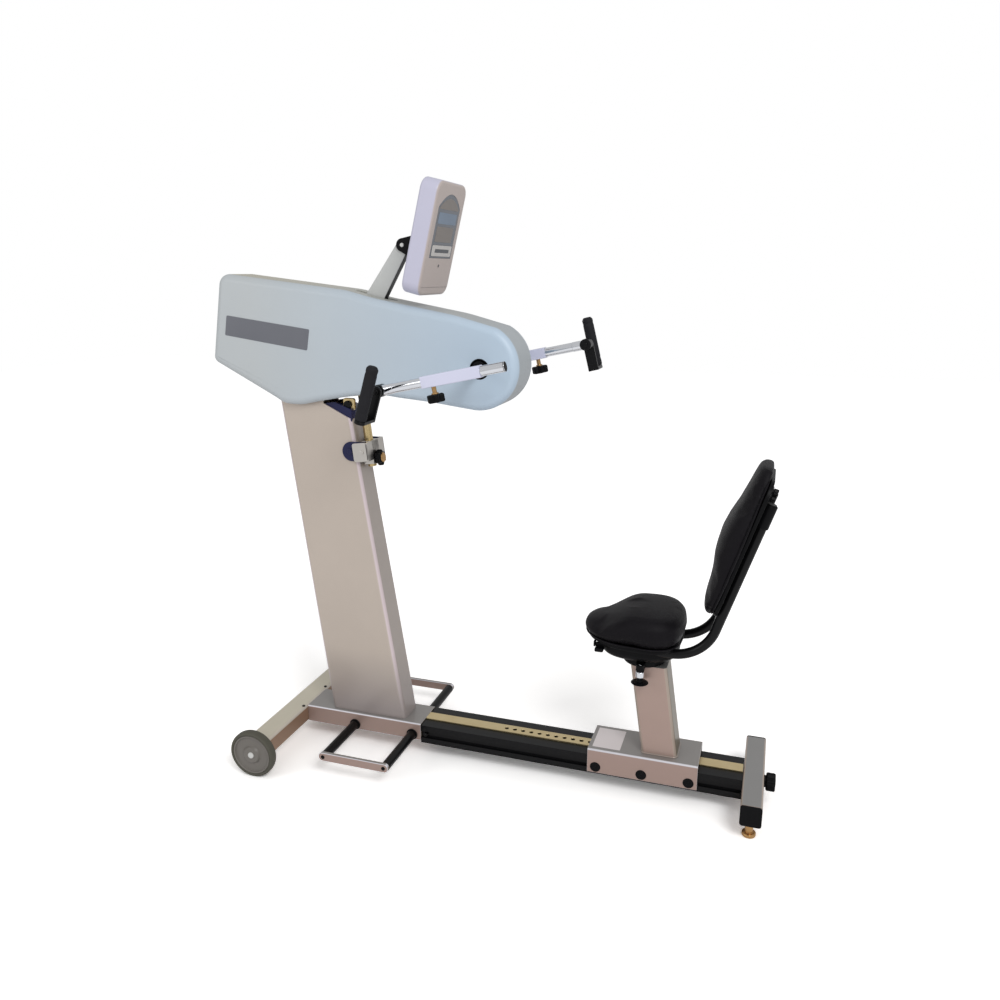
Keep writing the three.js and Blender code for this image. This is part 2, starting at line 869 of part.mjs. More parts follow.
function makeCarriage() {
  const half = carriageWidth / 2;
  const inner = half - carriageWall;
  const heights = [carriageUnderside - carriageCorner, carriageTop];
  const body = roundedBarX([0, carriageLength], [-half, half], heights, carriageCorner);
  const roof = carriageTop - carriageRoof;
  const tunnel = block([-gap, carriageLength + gap], [-inner, inner], [0, roof]);
  const foot = block([-gap, carriageLength + gap], [-carriageWidth, carriageWidth], [0, carriageUnderside]);
  const plugXs = [plugInset, carriageLength / 2, carriageLength - plugInset];
  const plugHoles = plugXs.map((x) =>
    bore(vector(x, -carriageWidth, grooveCentre), vector(x, carriageWidth, grooveCentre), plugRadius + gap),
  );
  const pinHole = bore(
    vector(indexPinX, 0, roof - carriageRoof),
    vector(indexPinX, 0, carriageTop + carriageRoof),
    indexPinRadius + slip,
    pinSides,
  );
  place("carriage", without(body, tunnel, foot, ...plugHoles, pinHole), silverPaint, carriage);

  for (const { name, sign } of sides) {
    const grooveFace = railWidth / 2 - grooveDepth + slip;
    const strip = block(
      [glideInset, carriageLength - glideInset],
      [grooveFace, inner - gap],
      [grooveCentre - grooveHeight / 2 + slip, grooveCentre + grooveHeight / 2 - slip],
    );
    const plugs = plugXs.map((x) =>
      bar(vector(x, inner - 2 * gap, grooveCentre), vector(x, half + plugProud, grooveCentre), plugRadius),
    );
    const glide = joined(strip, ...plugs);
    if (sign < 0) glide.applyMatrix4(halfTurn).translate(carriageLength, 0, 0);
    place(`glide_${name}`, glide, blackPlastic, carriage);
  }

  const pinFoot = railTop + gap + stripThickness + indexPinRest;
  const pin = [
    [0, 0],
    [indexPinRadius - weldSink, 0],
    [indexPinRadius, weldSink],
    [indexPinRadius, indexPinLength - indexPinHeadLength],
    [indexPinHeadRadius, indexPinLength - indexPinHeadLength],
    [indexPinHeadRadius, indexPinLength],
    [0, indexPinLength],
  ];
  const pinSolid = turned(pin, vector(0, 0, 0), vector(0, 0, 1), pinSides);
  place("index_pin", pinSolid, brightMetal, carriage).position.set(
    indexPinX,
    0,
    pinFoot,
  );
}

// The pin stands over one of the strip's holes, under the seat post.
const holeOver = Math.round((carriageStart + postFootCentre - firstHoleInset) / indexPitch);
const indexPinX = firstHoleInset + holeOver * indexPitch - carriageStart;

function makePost() {
  const ringAt = (rise, wall) =>
    levelRing(
      postFootCentre - rise * Math.tan(degrees(postLean)),
      0,
      carriageTop + gap + rise,
      postFootLength / 2 - wall,
      postWidth / 2 - wall,
      postCorner - wall,
    );
  const outer = lofted([ringAt(0, 0), ringAt(postHeight, 0)]);
  const hollow = lofted([ringAt(-postWall, postWall), ringAt(postHeight - 2 * postWall, postWall)]);
  place("seat_post", without(outer, hollow), silverPaint, carriage);

  const base = frameAt(carriage, swivelCentre, 0, postTop + gap);
  const rimHeight = swivelStubHeight + swivelHeight;
  const recessRadius = swivelStubRadius + 2 * weldSink;
  const flange = [
    [0, 0],
    [swivelRadius - weldSink, 0],
    [swivelRadius, weldSink],
    [swivelRadius, rimHeight - weldSink],
    [swivelRadius - weldSink, rimHeight],
    [recessRadius, rimHeight],
    [recessRadius, swivelHeight],
    [0, swivelHeight],
  ];
  const housing = bar(
    vector(0, -plungerSetout, -plungerHousingDrop),
    vector(0, -plungerSetout, rimHeight - weldSink),
    plungerHousingRadius,
  );
  const ear = block(
    [-plungerHousingRadius, plungerHousingRadius],
    [-plungerSetout, -recessRadius - weldSink],
    [0, rimHeight - weldSink],
  );
  const pinBore = bore(
    vector(0, -plungerSetout, -2 * plungerHousingDrop),
    vector(0, -plungerSetout, 2 * rimHeight),
    plungerPinRadius + gap,
    pinSides,
  );
  const profile = turned(flange, vector(0, 0, 0), vector(0, 0, 1));
  place("swivel_base", without(joined(profile, ear, housing), pinBore), blackPlastic, base);

  const neckLow = -plungerHousingDrop - plungerTravel - weldSink - plungerNeckLength;
  const plunger = [
    [0, neckLow - plungerKnobThickness],
    [plungerKnobRadius - weldSink, neckLow - plungerKnobThickness],
    [plungerKnobRadius, neckLow - plungerKnobThickness / 2],
    [plungerKnobRadius - weldSink, neckLow],
    [plungerNeckRadius, neckLow],
    [plungerNeckRadius, neckLow + plungerNeckLength],
    [plungerPinRadius, neckLow + plungerNeckLength],
    [plungerPinRadius, rimHeight - weldSink],
    [0, rimHeight - weldSink],
  ];
  const plungerSolid = turned(plunger, vector(0, 0, 0), vector(0, 0, 1), pinSides);
  place("swivel_plunger", plungerSolid, blackPlastic, base).position.y = -plungerSetout;
}

// The seat turns on the swivel's axis. Its frame's origin is under the cushion's pan, above the tray.
const seat = frameAt(carriage, swivelCentre, 0, swivelTop + 2 * gap + trayDepth);

// How square the seat's and tray's outlines are, against an ellipse.
const seatSquareShare = 0.72;
const traySquareShare = 0.8;
const squared = (value, share) => Math.sign(value) * Math.abs(value) ** share;

// The seat's scoop starts and ends at these shares of the way from the swivel to the front edge.
const seatScoopShares = [0.1, 0.75];

// A point of the seat's edge: wide at the rear, narrow at the front.
function seatEdgePoint(angle, inset) {
  const halfLength = seatLength / 2 - inset;
  const widening = Math.sqrt((1 + Math.cos(angle)) / 2);
  const halfWidth = THREE.MathUtils.lerp(seatFrontHalfWidth, seatHalfWidth, widening) - inset;
  return [
    seatLength / 2 - seatFront + halfLength * squared(Math.cos(angle), seatSquareShare),
    halfWidth * squared(Math.sin(angle), seatSquareShare),
  ];
}

function seatRing(inset, height, drop = 0, keep = 1) {
  const ring = [];
  const [scoopStart, scoopEnd] = seatScoopShares;
  const middle = seatLength / 2 - seatFront;
  for (let step = 0; step < seatPoints; step += 1) {
    const [edgeX, edgeY] = seatEdgePoint((2 * Math.PI * step) / seatPoints, inset);
    const x = middle + (edgeX - middle) * keep;
    const scoop = THREE.MathUtils.smoothstep(-x / seatFront, scoopStart, scoopEnd);
    ring.push(vector(x, edgeY * keep, height - drop * scoop));
  }
  return ring;
}

// The tray's sections from floor to rim: half length, half width and height in shares of its sizes.
const trayShares = [
  [0.76, 0.68, 0],
  [0.91, 0.86, 0.15],
  [0.98, 0.97, 0.4],
  [1, 1, 1],
];

function trayRing([long, wide, up], wall, lift) {
  const ring = [];
  for (let step = 0; step < fineSides; step += 1) {
    const angle = (2 * Math.PI * step) / fineSides;
    ring.push(
      vector(
        -trayAhead + (trayHalfLength * long - wall) * squared(Math.cos(angle), traySquareShare),
        (trayHalfWidth * wide - wall) * squared(Math.sin(angle), traySquareShare),
        (up - 1) * trayDepth + lift,
      ),
    );
  }
  return ring;
}

// The cushion's sections: inset in edge rounds, kept size, height and crown in shares.
const seatLevelShares = [
  [1, 1, 0, 0],
  [0.33, 1, 0.16, 0],
  [0, 1, 0.42, 0],
  [0.25, 1, 0.74, 0],
  [1, 1, 0.92, 0],
  [2, 1, 1, 0],
  [2, 0.7, 1, 0.6],
  [2, 0.35, 1, 1],
];

function makeSeat() {
  const pan = lofted([seatRing(panInset, 0), seatRing(panInset, panThickness)]);
  const tray = lofted([
    ...trayShares.map((share) => trayRing(share, 0, 0)),
    trayRing(trayShares[trayShares.length - 1], 0, weldSink),
  ]);
  const stub = bar(
    vector(0, 0, -trayDepth - swivelStubHeight + gap),
    vector(0, 0, -trayDepth + weldSink),
    swivelStubRadius,
  );
  const socketHalf = barRadius + gap + panSocketWall;
  const sockets = sides.map(({ sign }) => {
    const middle = (sign * barSpacing) / 2;
    return block(
      [panSocketStart, panSocketStart + panSocketLength],
      [middle - socketHalf, middle + socketHalf],
      [-barAxisDrop - socketHalf, 2 * panThickness],
    );
  });
  const cavity = lofted([
    ...trayShares.map((share) => trayRing(share, trayWall, trayWall)),
    trayRing(trayShares[trayShares.length - 1], trayWall, panThickness + gap),
  ]);
  const lugs = [-1, 1].map((side) => {
    const inner = side * (leverWidth / 2 + gap);
    const outer = side * (leverWidth / 2 + gap + leverLugThickness);
    return block(
      [Math.min(inner, outer) - leverAhead, Math.max(inner, outer) - leverAhead],
      [-leverAside - leverLugHeight / 2, -leverAside + leverLugHeight / 2],
      [-leverLugHeight, weldSink],
    );
  });
  const lugHole = bore(
    vector(-leverAhead - leverWidth, -leverAside, -leverLugHeight / 2),
    vector(-leverAhead + leverWidth, -leverAside, -leverLugHeight / 2),
    leverPinRadius + gap,
    pinSides,
  );
  const stops = [];
  for (let stop = 0; stop < swivelStops; stop += 1) {
    const angle = (2 * Math.PI * stop) / swivelStops;
    const [x, y] = [plungerSetout * Math.sin(angle), -plungerSetout * Math.cos(angle)];
    stops.push(
      bore(
        vector(x, y, -trayDepth - plungerTravel),
        vector(x, y, -trayDepth + 2 * plungerTravel),
        plungerPinRadius + slip,
        pinSides,
      ),
    );
  }
  const bars = sides.map(({ sign }) => stationTube(barStations(sign), barRadius + gap, gap));
  const body = without(joined(pan, tray, stub, ...lugs), without(cavity, ...sockets));
  place("seat_pan", without(body, lugHole, ...stops, ...bars), blackPlastic, seat);

  const cushion = lofted(
    seatLevelShares.map(([inset, keep, up, crown]) =>
      seatRing(inset * seatEdge, up * seatThickness + crown * seatCrown, up * seatFrontDrop, keep),
    ),
  );
  place("seat_cushion", cushion, vinyl, seat).position.z = panThickness + gap;

  const half = leverWidth / 2;
  const webHalf = leverPinRadius + gap;
  const paddleHeights = [-leverThickness - leverDrop, -leverDrop];
  const paddle = block([-half, half], [-leverReach, leverPinRadius], paddleHeights);
  const web = block([-half, half], [-webHalf, webHalf], [-leverDrop - weldSink, webHalf]);
  const pin = bar(
    vector(-half - leverLugThickness, 0, 0),
    vector(half + leverLugThickness, 0, 0),
    leverPinRadius,
    pinSides,
  );
  place("seat_lever", joined(paddle, web, pin), blackPlastic, seat).position.set(
    -leverAhead,
    -leverAside,
    -leverLugHeight / 2,
  );
}

// The stations of one back bar, each a point and a heading: out of its socket, round the bend and up.
function barStations(sign) {
  const y = (sign * barSpacing) / 2;
  const headingAt = (angle) => vector(Math.cos(angle), 0, Math.sin(angle));
  const stations = [[vector(barStart, y, -barAxisDrop), headingAt(0)]];
  for (let step = 0; step <= barBendSteps; step += 1) {
    const angle = (degrees(90 - backLean) * step) / barBendSteps;
    const x = barBendStart + barBendRadius * Math.sin(angle);
    const z = barBendRadius * (1 - Math.cos(angle)) - barAxisDrop;
    stations.push([vector(x, y, z), headingAt(angle)]);
  }
  const [foot, upright] = stations[stations.length - 1];
  stations.push([foot.clone().addScaledVector(upright, barUprightLength), upright]);
  return stations;
}

// A round tube along stations, started early by a margin.
function stationTube(stations, radius, early = 0) {
  const rings = stations.map(([centre, heading], index) => {
    const point = centre.clone().addScaledVector(heading, index === 0 ? -early : 0);
    const side = vector(0, 1, 0);
    const up = side.clone().cross(heading).normalize();
    const ring = [];
    for (let step = 0; step < roundSides; step += 1) {
      const angle = (2 * Math.PI * step) / roundSides;
      ring.push(
        point
          .clone()
          .addScaledVector(side, radius * Math.cos(angle))
          .addScaledVector(up, radius * Math.sin(angle)),
      );
    }
    return ring;
  });
  return lofted(rings);
}

// The back cushion's sections, bottom to top: height, half width and depth in shares of its own sizes.
const backLevelShares = [
  [0, 0.2, 0.08],
  [0.008, 0.32, 0.24],
  [0.03, 0.5, 0.38],
  [0.07, 0.7, 0.47],
  [0.12, 0.86, 0.56],
  [0.2, 0.97, 0.61],
  [0.31, 1, 0.74],
  [0.41, 1, 0.94],
  [0.52, 0.98, 1],
  [0.61, 0.95, 0.93],
  [0.71, 0.88, 0.78],
  [0.83, 0.78, 0.67],
  [0.92, 0.68, 0.62],
  [0.965, 0.58, 0.6],
  [0.99, 0.46, 0.46],
  [1, 0.3, 0.1],
];
const backSquareShare = 0.75;

function makeBack() {
  const tubes = sides.map(({ sign }) => stationTube(barStations(sign), barRadius));
  const stations = barStations(0);
  const [foot] = stations[stations.length - 2];
  const half = barSpacing / 2;
  const tie = bar(vector(foot.x, -half, foot.z), vector(foot.x, half, foot.z), barTieRadius, pinSides);
  place("back_frame", joined(...tubes, tie), blackPaint, seat);

  const back = frameAt(seat, foot.x, 0, foot.z, degrees(backLean));
  const boardX = -barRadius - gap - weldSink;
  const boardShape = roundedOutline(
    [-boardHalfWidth, boardHalfWidth],
    [backCushionLow + boardCorner / 2, backCushionLow + backCushionLength - boardCorner / 2],
    boardCorner,
  );
  const turnToBack = new THREE.Matrix4().makeRotationZ(-Math.PI / 2);
  const board = pressed(boardShape, [0, boardThickness])
    .applyMatrix4(turnToBack)
    .translate(boardX - boardThickness, 0, 0);
  const socketRadius = barRadius + gap + socketWall;
  const sockets = sides.map(({ sign }) =>
    bar(
      vector(0, sign * half, socketLow),
      vector(0, sign * half, socketLow + socketLength),
      socketRadius,
    ),
  );
  const middle = socketLow + socketLength / 2;
  const bridge = block(
    [boardX - weldSink, -knobPadInset],
    [-half, half],
    [middle - socketBarHeight / 2, middle + socketBarHeight / 2],
  );
  const pad = block(
    [boardX - weldSink, -knobPadInset],
    [-knobPadWidth / 2, knobPadWidth / 2],
    [middle, backKnobRise + knobPadHeight / 2],
  );
  const bores = sides.map(({ sign }) =>
    bar(
      vector(0, sign * half, socketLow - socketLength),
      vector(0, sign * half, socketLow + 2 * socketLength),
      barRadius + gap,
    ),
  );
  const knobBore = bore(
    vector(-knobPadInset - backKnobStem - gap, 0, backKnobRise),
    vector(barRadius, 0, backKnobRise),
    knobStemRadius + gap,
    pinSides,
  );
  const solid = without(joined(board, bridge, pad, ...sockets), ...bores, knobBore);
  place("back_board", solid, blackPlastic, back);

  const sections = backLevelShares.map(([up, wide, deep]) => {
    const section = [];
    for (let step = 0; step < backPoints; step += 1) {
      const angle = (2 * Math.PI * step) / backPoints;
      const across = squared(Math.cos(angle), backSquareShare);
      const out = squared(Math.sin(angle), backSquareShare);
      const front = out > 0 ? out * deep * (backDepth + backWing * across ** 2) : out * weldSink;
      section.push(vector(-front, backHalfWidth * wide * across, backCushionLow + up * backCushionLength));
    }
    return section;
  });
  const cushionX = boardX - boardThickness - gap - weldSink;
  place("back_cushion", lofted(sections), vinyl, back).position.x = cushionX;

  const knob = lobedKnob(backKnobRadius, backKnobLength, knobStemRadius, backKnobStem);
  const mesh = place("back_knob", knob, blackPlastic, back);
  mesh.rotation.y = Math.PI / 2;
  mesh.position.set(gap - knobPadInset, 0, backKnobRise);
}

// The head's frame has its origin at the tilt pivot.
const head = frameAt(model, pivotX, 0, pivotHeight);

// The side outline in shares of the head's length and height, from the rear bottom corner on.
const undersideShares = [
  [0, 0.331],
  [0.216, 0.049],
  [0.243, 0.007],
  [0.303, 0.002],
  [0.37, 0.039],
  [0.446, 0.075],
  [0.506, 0.097],
  [0.556, 0.114],
  [0.629, 0.091],
  [0.732, 0.068],
  [0.794, 0.047],
];
const topShares = [
  [0.808, 0.708],
  [0.558, 0.825],
  [0.468, 0.883],
];
const rearCornerShares = [0.0768, 0.91];

function headOutline() {
  const at = ([along, up]) => [along * headLength - headRear, up * headHeight - headDrop];
  const shape = new THREE.Shape();
  undersideShares.forEach((share, index) => {
    if (index === 0) shape.moveTo(...at(share));
    else shape.lineTo(...at(share));
  });
  shape.absarc(noseAhead, noseRise, noseRadius, degrees(noseStart), degrees(noseEnd), false);
  topShares.forEach((share) => shape.lineTo(...at(share)));
  const [cornerStart, cornerEnd] = [degrees(rearCornerStart), degrees(rearCornerEnd)];
  shape.absarc(...at(rearCornerShares), headCorner, cornerStart, cornerEnd, false);
  return shape;
}

const armFoot = [consoleArmFootAhead, consoleArmFootRise];
const consolePivot = [consolePivotAhead, consolePivotRise];

// The frame's ties and the plate's top point, in shares of the crank's place from the pivot.
const frameTieShares = [
  [0.76, 2.3],
  [0.64, 0.46],
  [0.19, 1.97],
];
const frameTopShares = [0.855, 2.5];
const [frameArcStart, frameArcEnd] = [-90, 80];

// The slot round the console arm, and the arm's toe and heel, in shares of the arm's width.
const armSlotShare = 1.2;
const armToeShare = 1.6;
const armHeelShare = 1.4;

function makeShells() {
  const half = headWidth / 2;
  const skin = (wall, steps) =>
    pressed(headOutline(), [-half + wall, half - wall], {
      bevelEnabled: true,
      bevelThickness: headEdge - wall,
      bevelSize: headEdge - wall,
      bevelOffset: -headEdge,
      bevelSegments: steps,
      curveSegments: plainCurve,
    });
  const mouth = block(
    [-headMouthRear, headMouthLength - headMouthRear],
    [-headMouthWidth / 2, headMouthWidth / 2],
    [-headHeight, 0],
  );
  const hubHole = bore(
    vector(crankAhead, -headWidth, crankRise),
    vector(crankAhead, headWidth, crankRise),
    hubHoleRadius,
    fineSides,
  );
  const slotHalf = consoleArmThickness / 2 + 2 * gap + weldSink;
  const slotReach = armSlotShare * consoleArmWidth;
  const armSlot = block(
    [consoleArmFootAhead - slotReach, consoleArmFootAhead + slotReach],
    [-slotHalf, slotHalf],
    [consoleArmFootRise - consoleArmWidth, headHeight],
  );
  for (const { name, sign } of sides) {
    const other = block(
      [-headLength, headLength],
      sign < 0 ? [-gap / 2, headWidth] : [-headWidth, gap / 2],
      [-headHeight, 2 * headHeight],
    );
    const shell = without(skin(0, 2), skin(headWall, 1), mouth, hubHole, armSlot, other);
    const reach = sign * (frameSpacing / 2 + framePlate + gap);
    const bosses = frameTieShares.map(([along, up]) => {
      const [x, z] = [along * crankAhead, up * crankRise];
      const wall = sign * (half - headWall + weldSink);
      return bar(vector(x, reach, z), vector(x, wall, z), shellBossRadius, pinSides);
    });
    const solid = joined(shell, ...bosses);
    place(`head_shell_${name}`, solid, shellPaint, head);
  }
}

function makeHeadFrame() {
  const half = frameSpacing / 2;
  const plateShares = [
    [-0.045, -0.045],
    [0.19, -0.045],
    [0.55, 0.12],
  ];
  const shape = new THREE.Shape();
  plateShares.forEach(([along, up], index) => {
    const point = [along * headLength, up * headHeight];
    if (index === 0) shape.moveTo(...point);
    else shape.lineTo(...point);
  });
  shape.absarc(crankAhead, crankRise, frameBossRadius, degrees(frameArcStart), degrees(frameArcEnd), false);
  shape.lineTo(frameTopShares[0] * crankAhead, frameTopShares[1] * crankRise);
  shape.lineTo(consoleArmFootAhead + consoleArmWidth, consoleArmFootRise - consoleArmWidth / 2);
  shape.lineTo(consoleArmFootAhead - consoleArmWidth / 2, consoleArmFootRise - consoleArmWidth / 3);
  shape.lineTo(-frameBossRadius, crankRise);
  const outer = half + framePlate;
  const plates = sides.map(({ sign }) => pressed(shape, sign < 0 ? [-outer, -half] : [half, outer]));
  const reach = half + weldSink;
  const tieAt = ([x, z], radius) => bar(vector(x, -reach, z), vector(x, reach, z), radius, pinSides);
  const ties = frameTieShares.map(([along, up]) =>
    tieAt([along * crankAhead, up * crankRise], frameTieRadius),
  );
  const strutPin = tieAt([strutEyeAhead, 0], strutPinRadius);
  const holes = [
    [[0, 0], pivotBoltRadius + gap],
    [[crankAhead, crankRise], crankShaftRadius + slip],
    [[flywheelAhead, flywheelRise], flywheelShaftRadius + slip],
  ].map(([[x, z], radius]) => bore(vector(x, -headWidth, z), vector(x, headWidth, z), radius));
  const solid = without(joined(...plates, ...ties, strutPin, consoleFoot()), ...holes);
  place("head_frame", solid, zinc, head);
}

// The block between the frame's plates that the console arm stands on.
function consoleFoot() {
  const half = frameSpacing / 2;
  const low = consoleArmFootRise - consoleArmWidth;
  return block(
    [consoleArmFootAhead - consoleArmWidth / 3, consoleArmFootAhead + consoleArmWidth / 2],
    [-half - weldSink, half + weldSink],
    [low - framePlate, low + framePlate],
  );
}

function makeDrive() {
  const crank = frameAt(head, crankAhead, 0, crankRise, -degrees(crankAngle));
  const reach = armPlane - sleeveSize / 2 - gap;
  const shaft = bar(vector(0, -reach, 0), vector(0, reach, 0), crankShaftRadius);
  const collars = sides.map(({ sign }) => {
    const face = headWidth / 2 + hubCollarProud;
    return bar(
      vector(0, sign * (face - hubCollarLength), 0),
      vector(0, sign * face, 0),
      hubCollarRadius,
      fineSides,
    );
  });
  const halfPulley = pulleyWidth / 2;
  const pulley = turned(
    [
      [0, -halfPulley],
      [pulleyRadius, -halfPulley],
      [pulleyRadius, halfPulley],
      [0, halfPulley],
    ],
    vector(0, beltPlane, 0),
    vector(0, 1, 0),
  );
  place("crankshaft", joined(shaft, ...collars, pulley), blackPaint, crank);

  const flywheel = frameAt(head, flywheelAhead, 0, flywheelRise);
  const shaftReach = frameSpacing / 2 + framePlate;
  const rimInner = flywheelRadius - flywheelRimDepth;
  const halfRim = flywheelRimWidth / 2;
  const halfWeb = flywheelWeb / 2;
  const wheel = [
    [0, -shaftReach],
    [flywheelShaftRadius, -shaftReach],
    [flywheelShaftRadius, beltPlane - halfPulley],
    [smallPulleyRadius, beltPlane - halfPulley],
    [smallPulleyRadius, beltPlane + halfPulley],
    [flywheelShaftRadius, beltPlane + halfPulley],
    [flywheelShaftRadius, flywheelPlane - halfWeb],
    [rimInner, flywheelPlane - halfWeb],
    [rimInner, flywheelPlane - halfRim],
    [flywheelRadius, flywheelPlane - halfRim],
    [flywheelRadius, flywheelPlane + halfRim],
    [rimInner, flywheelPlane + halfRim],
    [rimInner, flywheelPlane + halfWeb],
    [flywheelShaftRadius, flywheelPlane + halfWeb],
    [flywheelShaftRadius, shaftReach],
    [0, shaftReach],
  ];
  place("flywheel", turned(wheel, vector(0, 0, 0), vector(0, 1, 0), roundSides), brightMetal, flywheel);

  const large = { x: crankAhead, z: crankRise, radius: pulleyRadius };
  const small = { x: flywheelAhead, z: flywheelRise, radius: smallPulleyRadius };
  const loop = beltLoop(large, small, slip + beltThickness, new THREE.Shape());
  loop.holes.push(beltLoop(large, small, slip, new THREE.Path()));
  const edges = [beltPlane - beltWidth / 2, beltPlane + beltWidth / 2];
  const belt = pressed(loop, edges, { curveSegments: roundCurve });
  place("drive_belt", belt, rubber, head);
  return crank;
}

// The line round two pulleys at a distance from their rims.
function beltLoop(large, small, off, path) {
  const span = Math.hypot(large.x - small.x, large.z - small.z);
  const heading = Math.atan2(large.z - small.z, large.x - small.x);
  const spread = Math.acos((large.radius - small.radius) / span);
  const wrap = Math.PI - spread;
  const back = heading + Math.PI;
  path.absarc(large.x, large.z, large.radius + off, heading - wrap, heading + wrap, false);
  path.absarc(small.x, small.z, small.radius + off, back - spread, back + spread, false);
  return path;
}

function makeArm(crank, { name, sign }) {
  const half = sleeveSize / 2;
  const arm = frameAt(crank, 0, sign * armPlane, 0);
  const xs = (from, to) => [Math.min(sign * from, sign * to), Math.max(sign * from, sign * to)];
  const sleeve = block(xs(-sleeveTail, sleeveReach), [-half, half], [-half, half]);
  const roundBore = bore(
    vector(sign * (-sleeveTail - gap), 0, 0),
    vector(sign * (sleeveReach + gap), 0, 0),
    armRodRadius + gap,
  );
  const knobBore = bore(
    vector(sign * lockKnobReach, 0, -sleeveSize),
    vector(sign * lockKnobReach, 0, 0),
    knobStemRadius + gap,
    pinSides,
  );
  place(`arm_sleeve_${name}`, without(sleeve, roundBore, knobBore), silverPaint, arm);

  const rod = bar(vector(-sign * armRodTail, 0, 0), vector(sign * armRodReach, 0, 0), armRodRadius);
  const halfEnd = rodEndWidth / 2;
  const eye = bar(
    vector(sign * handlePivotReach, -halfEnd, 0),
    vector(sign * handlePivotReach, halfEnd, 0),
    rodEndRadius,
  );
  const neck = bar(
    vector(sign * rodEndStart, 0, 0),
    vector(sign * handlePivotReach, 0, 0),
    halfEnd,
  );
  const eyeBore = bore(
    vector(sign * handlePivotReach, -rodEndWidth, 0),
    vector(sign * handlePivotReach, rodEndWidth, 0),
    rodEndBore + gap,
    pinSides,
  );
  place(`arm_rod_${name}`, without(joined(rod, eye, neck), eyeBore), chrome, arm);

  const stem = lockKnobDrop - armRodRadius - gap;
  const knob = lobedKnob(lockKnobRadius, lockKnobLength, knobStemRadius, stem);
  const knobMesh = place(`arm_knob_${name}`, knob, blackPlastic, arm);
  knobMesh.rotation.x = Math.PI;
  knobMesh.position.set(sign * lockKnobReach, 0, -lockKnobDrop);

  const tilt = sign < 0 ? nearHandleTilt : farHandleTilt;
  const handle = frameAt(arm, sign * handlePivotReach, 0, 0, degrees(tilt + crankAngle));
  const halfPlate = handlePlateWidth / 2;
  const inner = sign * handlePlateSetout;
  const outer = sign * (handlePlateSetout + handlePlateThickness);
  const ys = [Math.min(inner, outer), Math.max(inner, outer)];
  const plateShape = new THREE.Shape();
  plateShape.moveTo(-halfPlate, -handlePlateDrop);
  plateShape.lineTo(halfPlate, -handlePlateDrop);
  plateShape.absarc(0, 0, halfPlate, 0, Math.PI, false);
  const plate = pressed(plateShape, ys, { curveSegments: roundCurve });
  const footEnd = sign * gripSetout;
  const footY = [Math.min(inner, footEnd), Math.max(inner, footEnd)];
  const gripLow = -handlePlateDrop + handleFootThickness;
  const foot = block([-halfPlate, halfPlate], footY, [-handlePlateDrop, gripLow]);
  const footRound = bar(
    vector(0, footEnd, -handlePlateDrop),
    vector(0, footEnd, gripLow),
    halfPlate,
  );
  const spindle = bar(
    vector(0, footEnd, -handlePlateDrop + weldSink),
    vector(0, footEnd, gripLow + gripLength - gripRadius),
    gripSpindleRadius,
    pinSides,
  );
  const pinEnd = vector(0, inner + sign * weldSink, 0);
  const pivotPin = bar(vector(0, -sign * halfEnd, 0), pinEnd, rodEndBore, pinSides);
  place(`handle_bracket_${name}`, joined(plate, foot, footRound, spindle, pivotPin), blackPaint, handle);

  const edge = gripRadius / 3;
  const grip = [
    [gripSpindleRadius + gap, 0],
    [gripRadius - edge / 2, 0],
    [gripRadius, edge],
    [gripRadius, gripLength - edge],
    [gripRadius - edge, gripLength],
    [0, gripLength],
    [0, gripLength - gripRadius + gap],
    [gripSpindleRadius + gap, gripLength - gripRadius + gap],
    [gripSpindleRadius + gap, 0],
  ];
  const gripSolid = turned(grip, vector(0, 0, 0), vector(0, 0, 1), roundSides);
  place(`grip_${name}`, gripSolid, rubber, handle).position.set(0, footEnd, gripLow + gap);
}

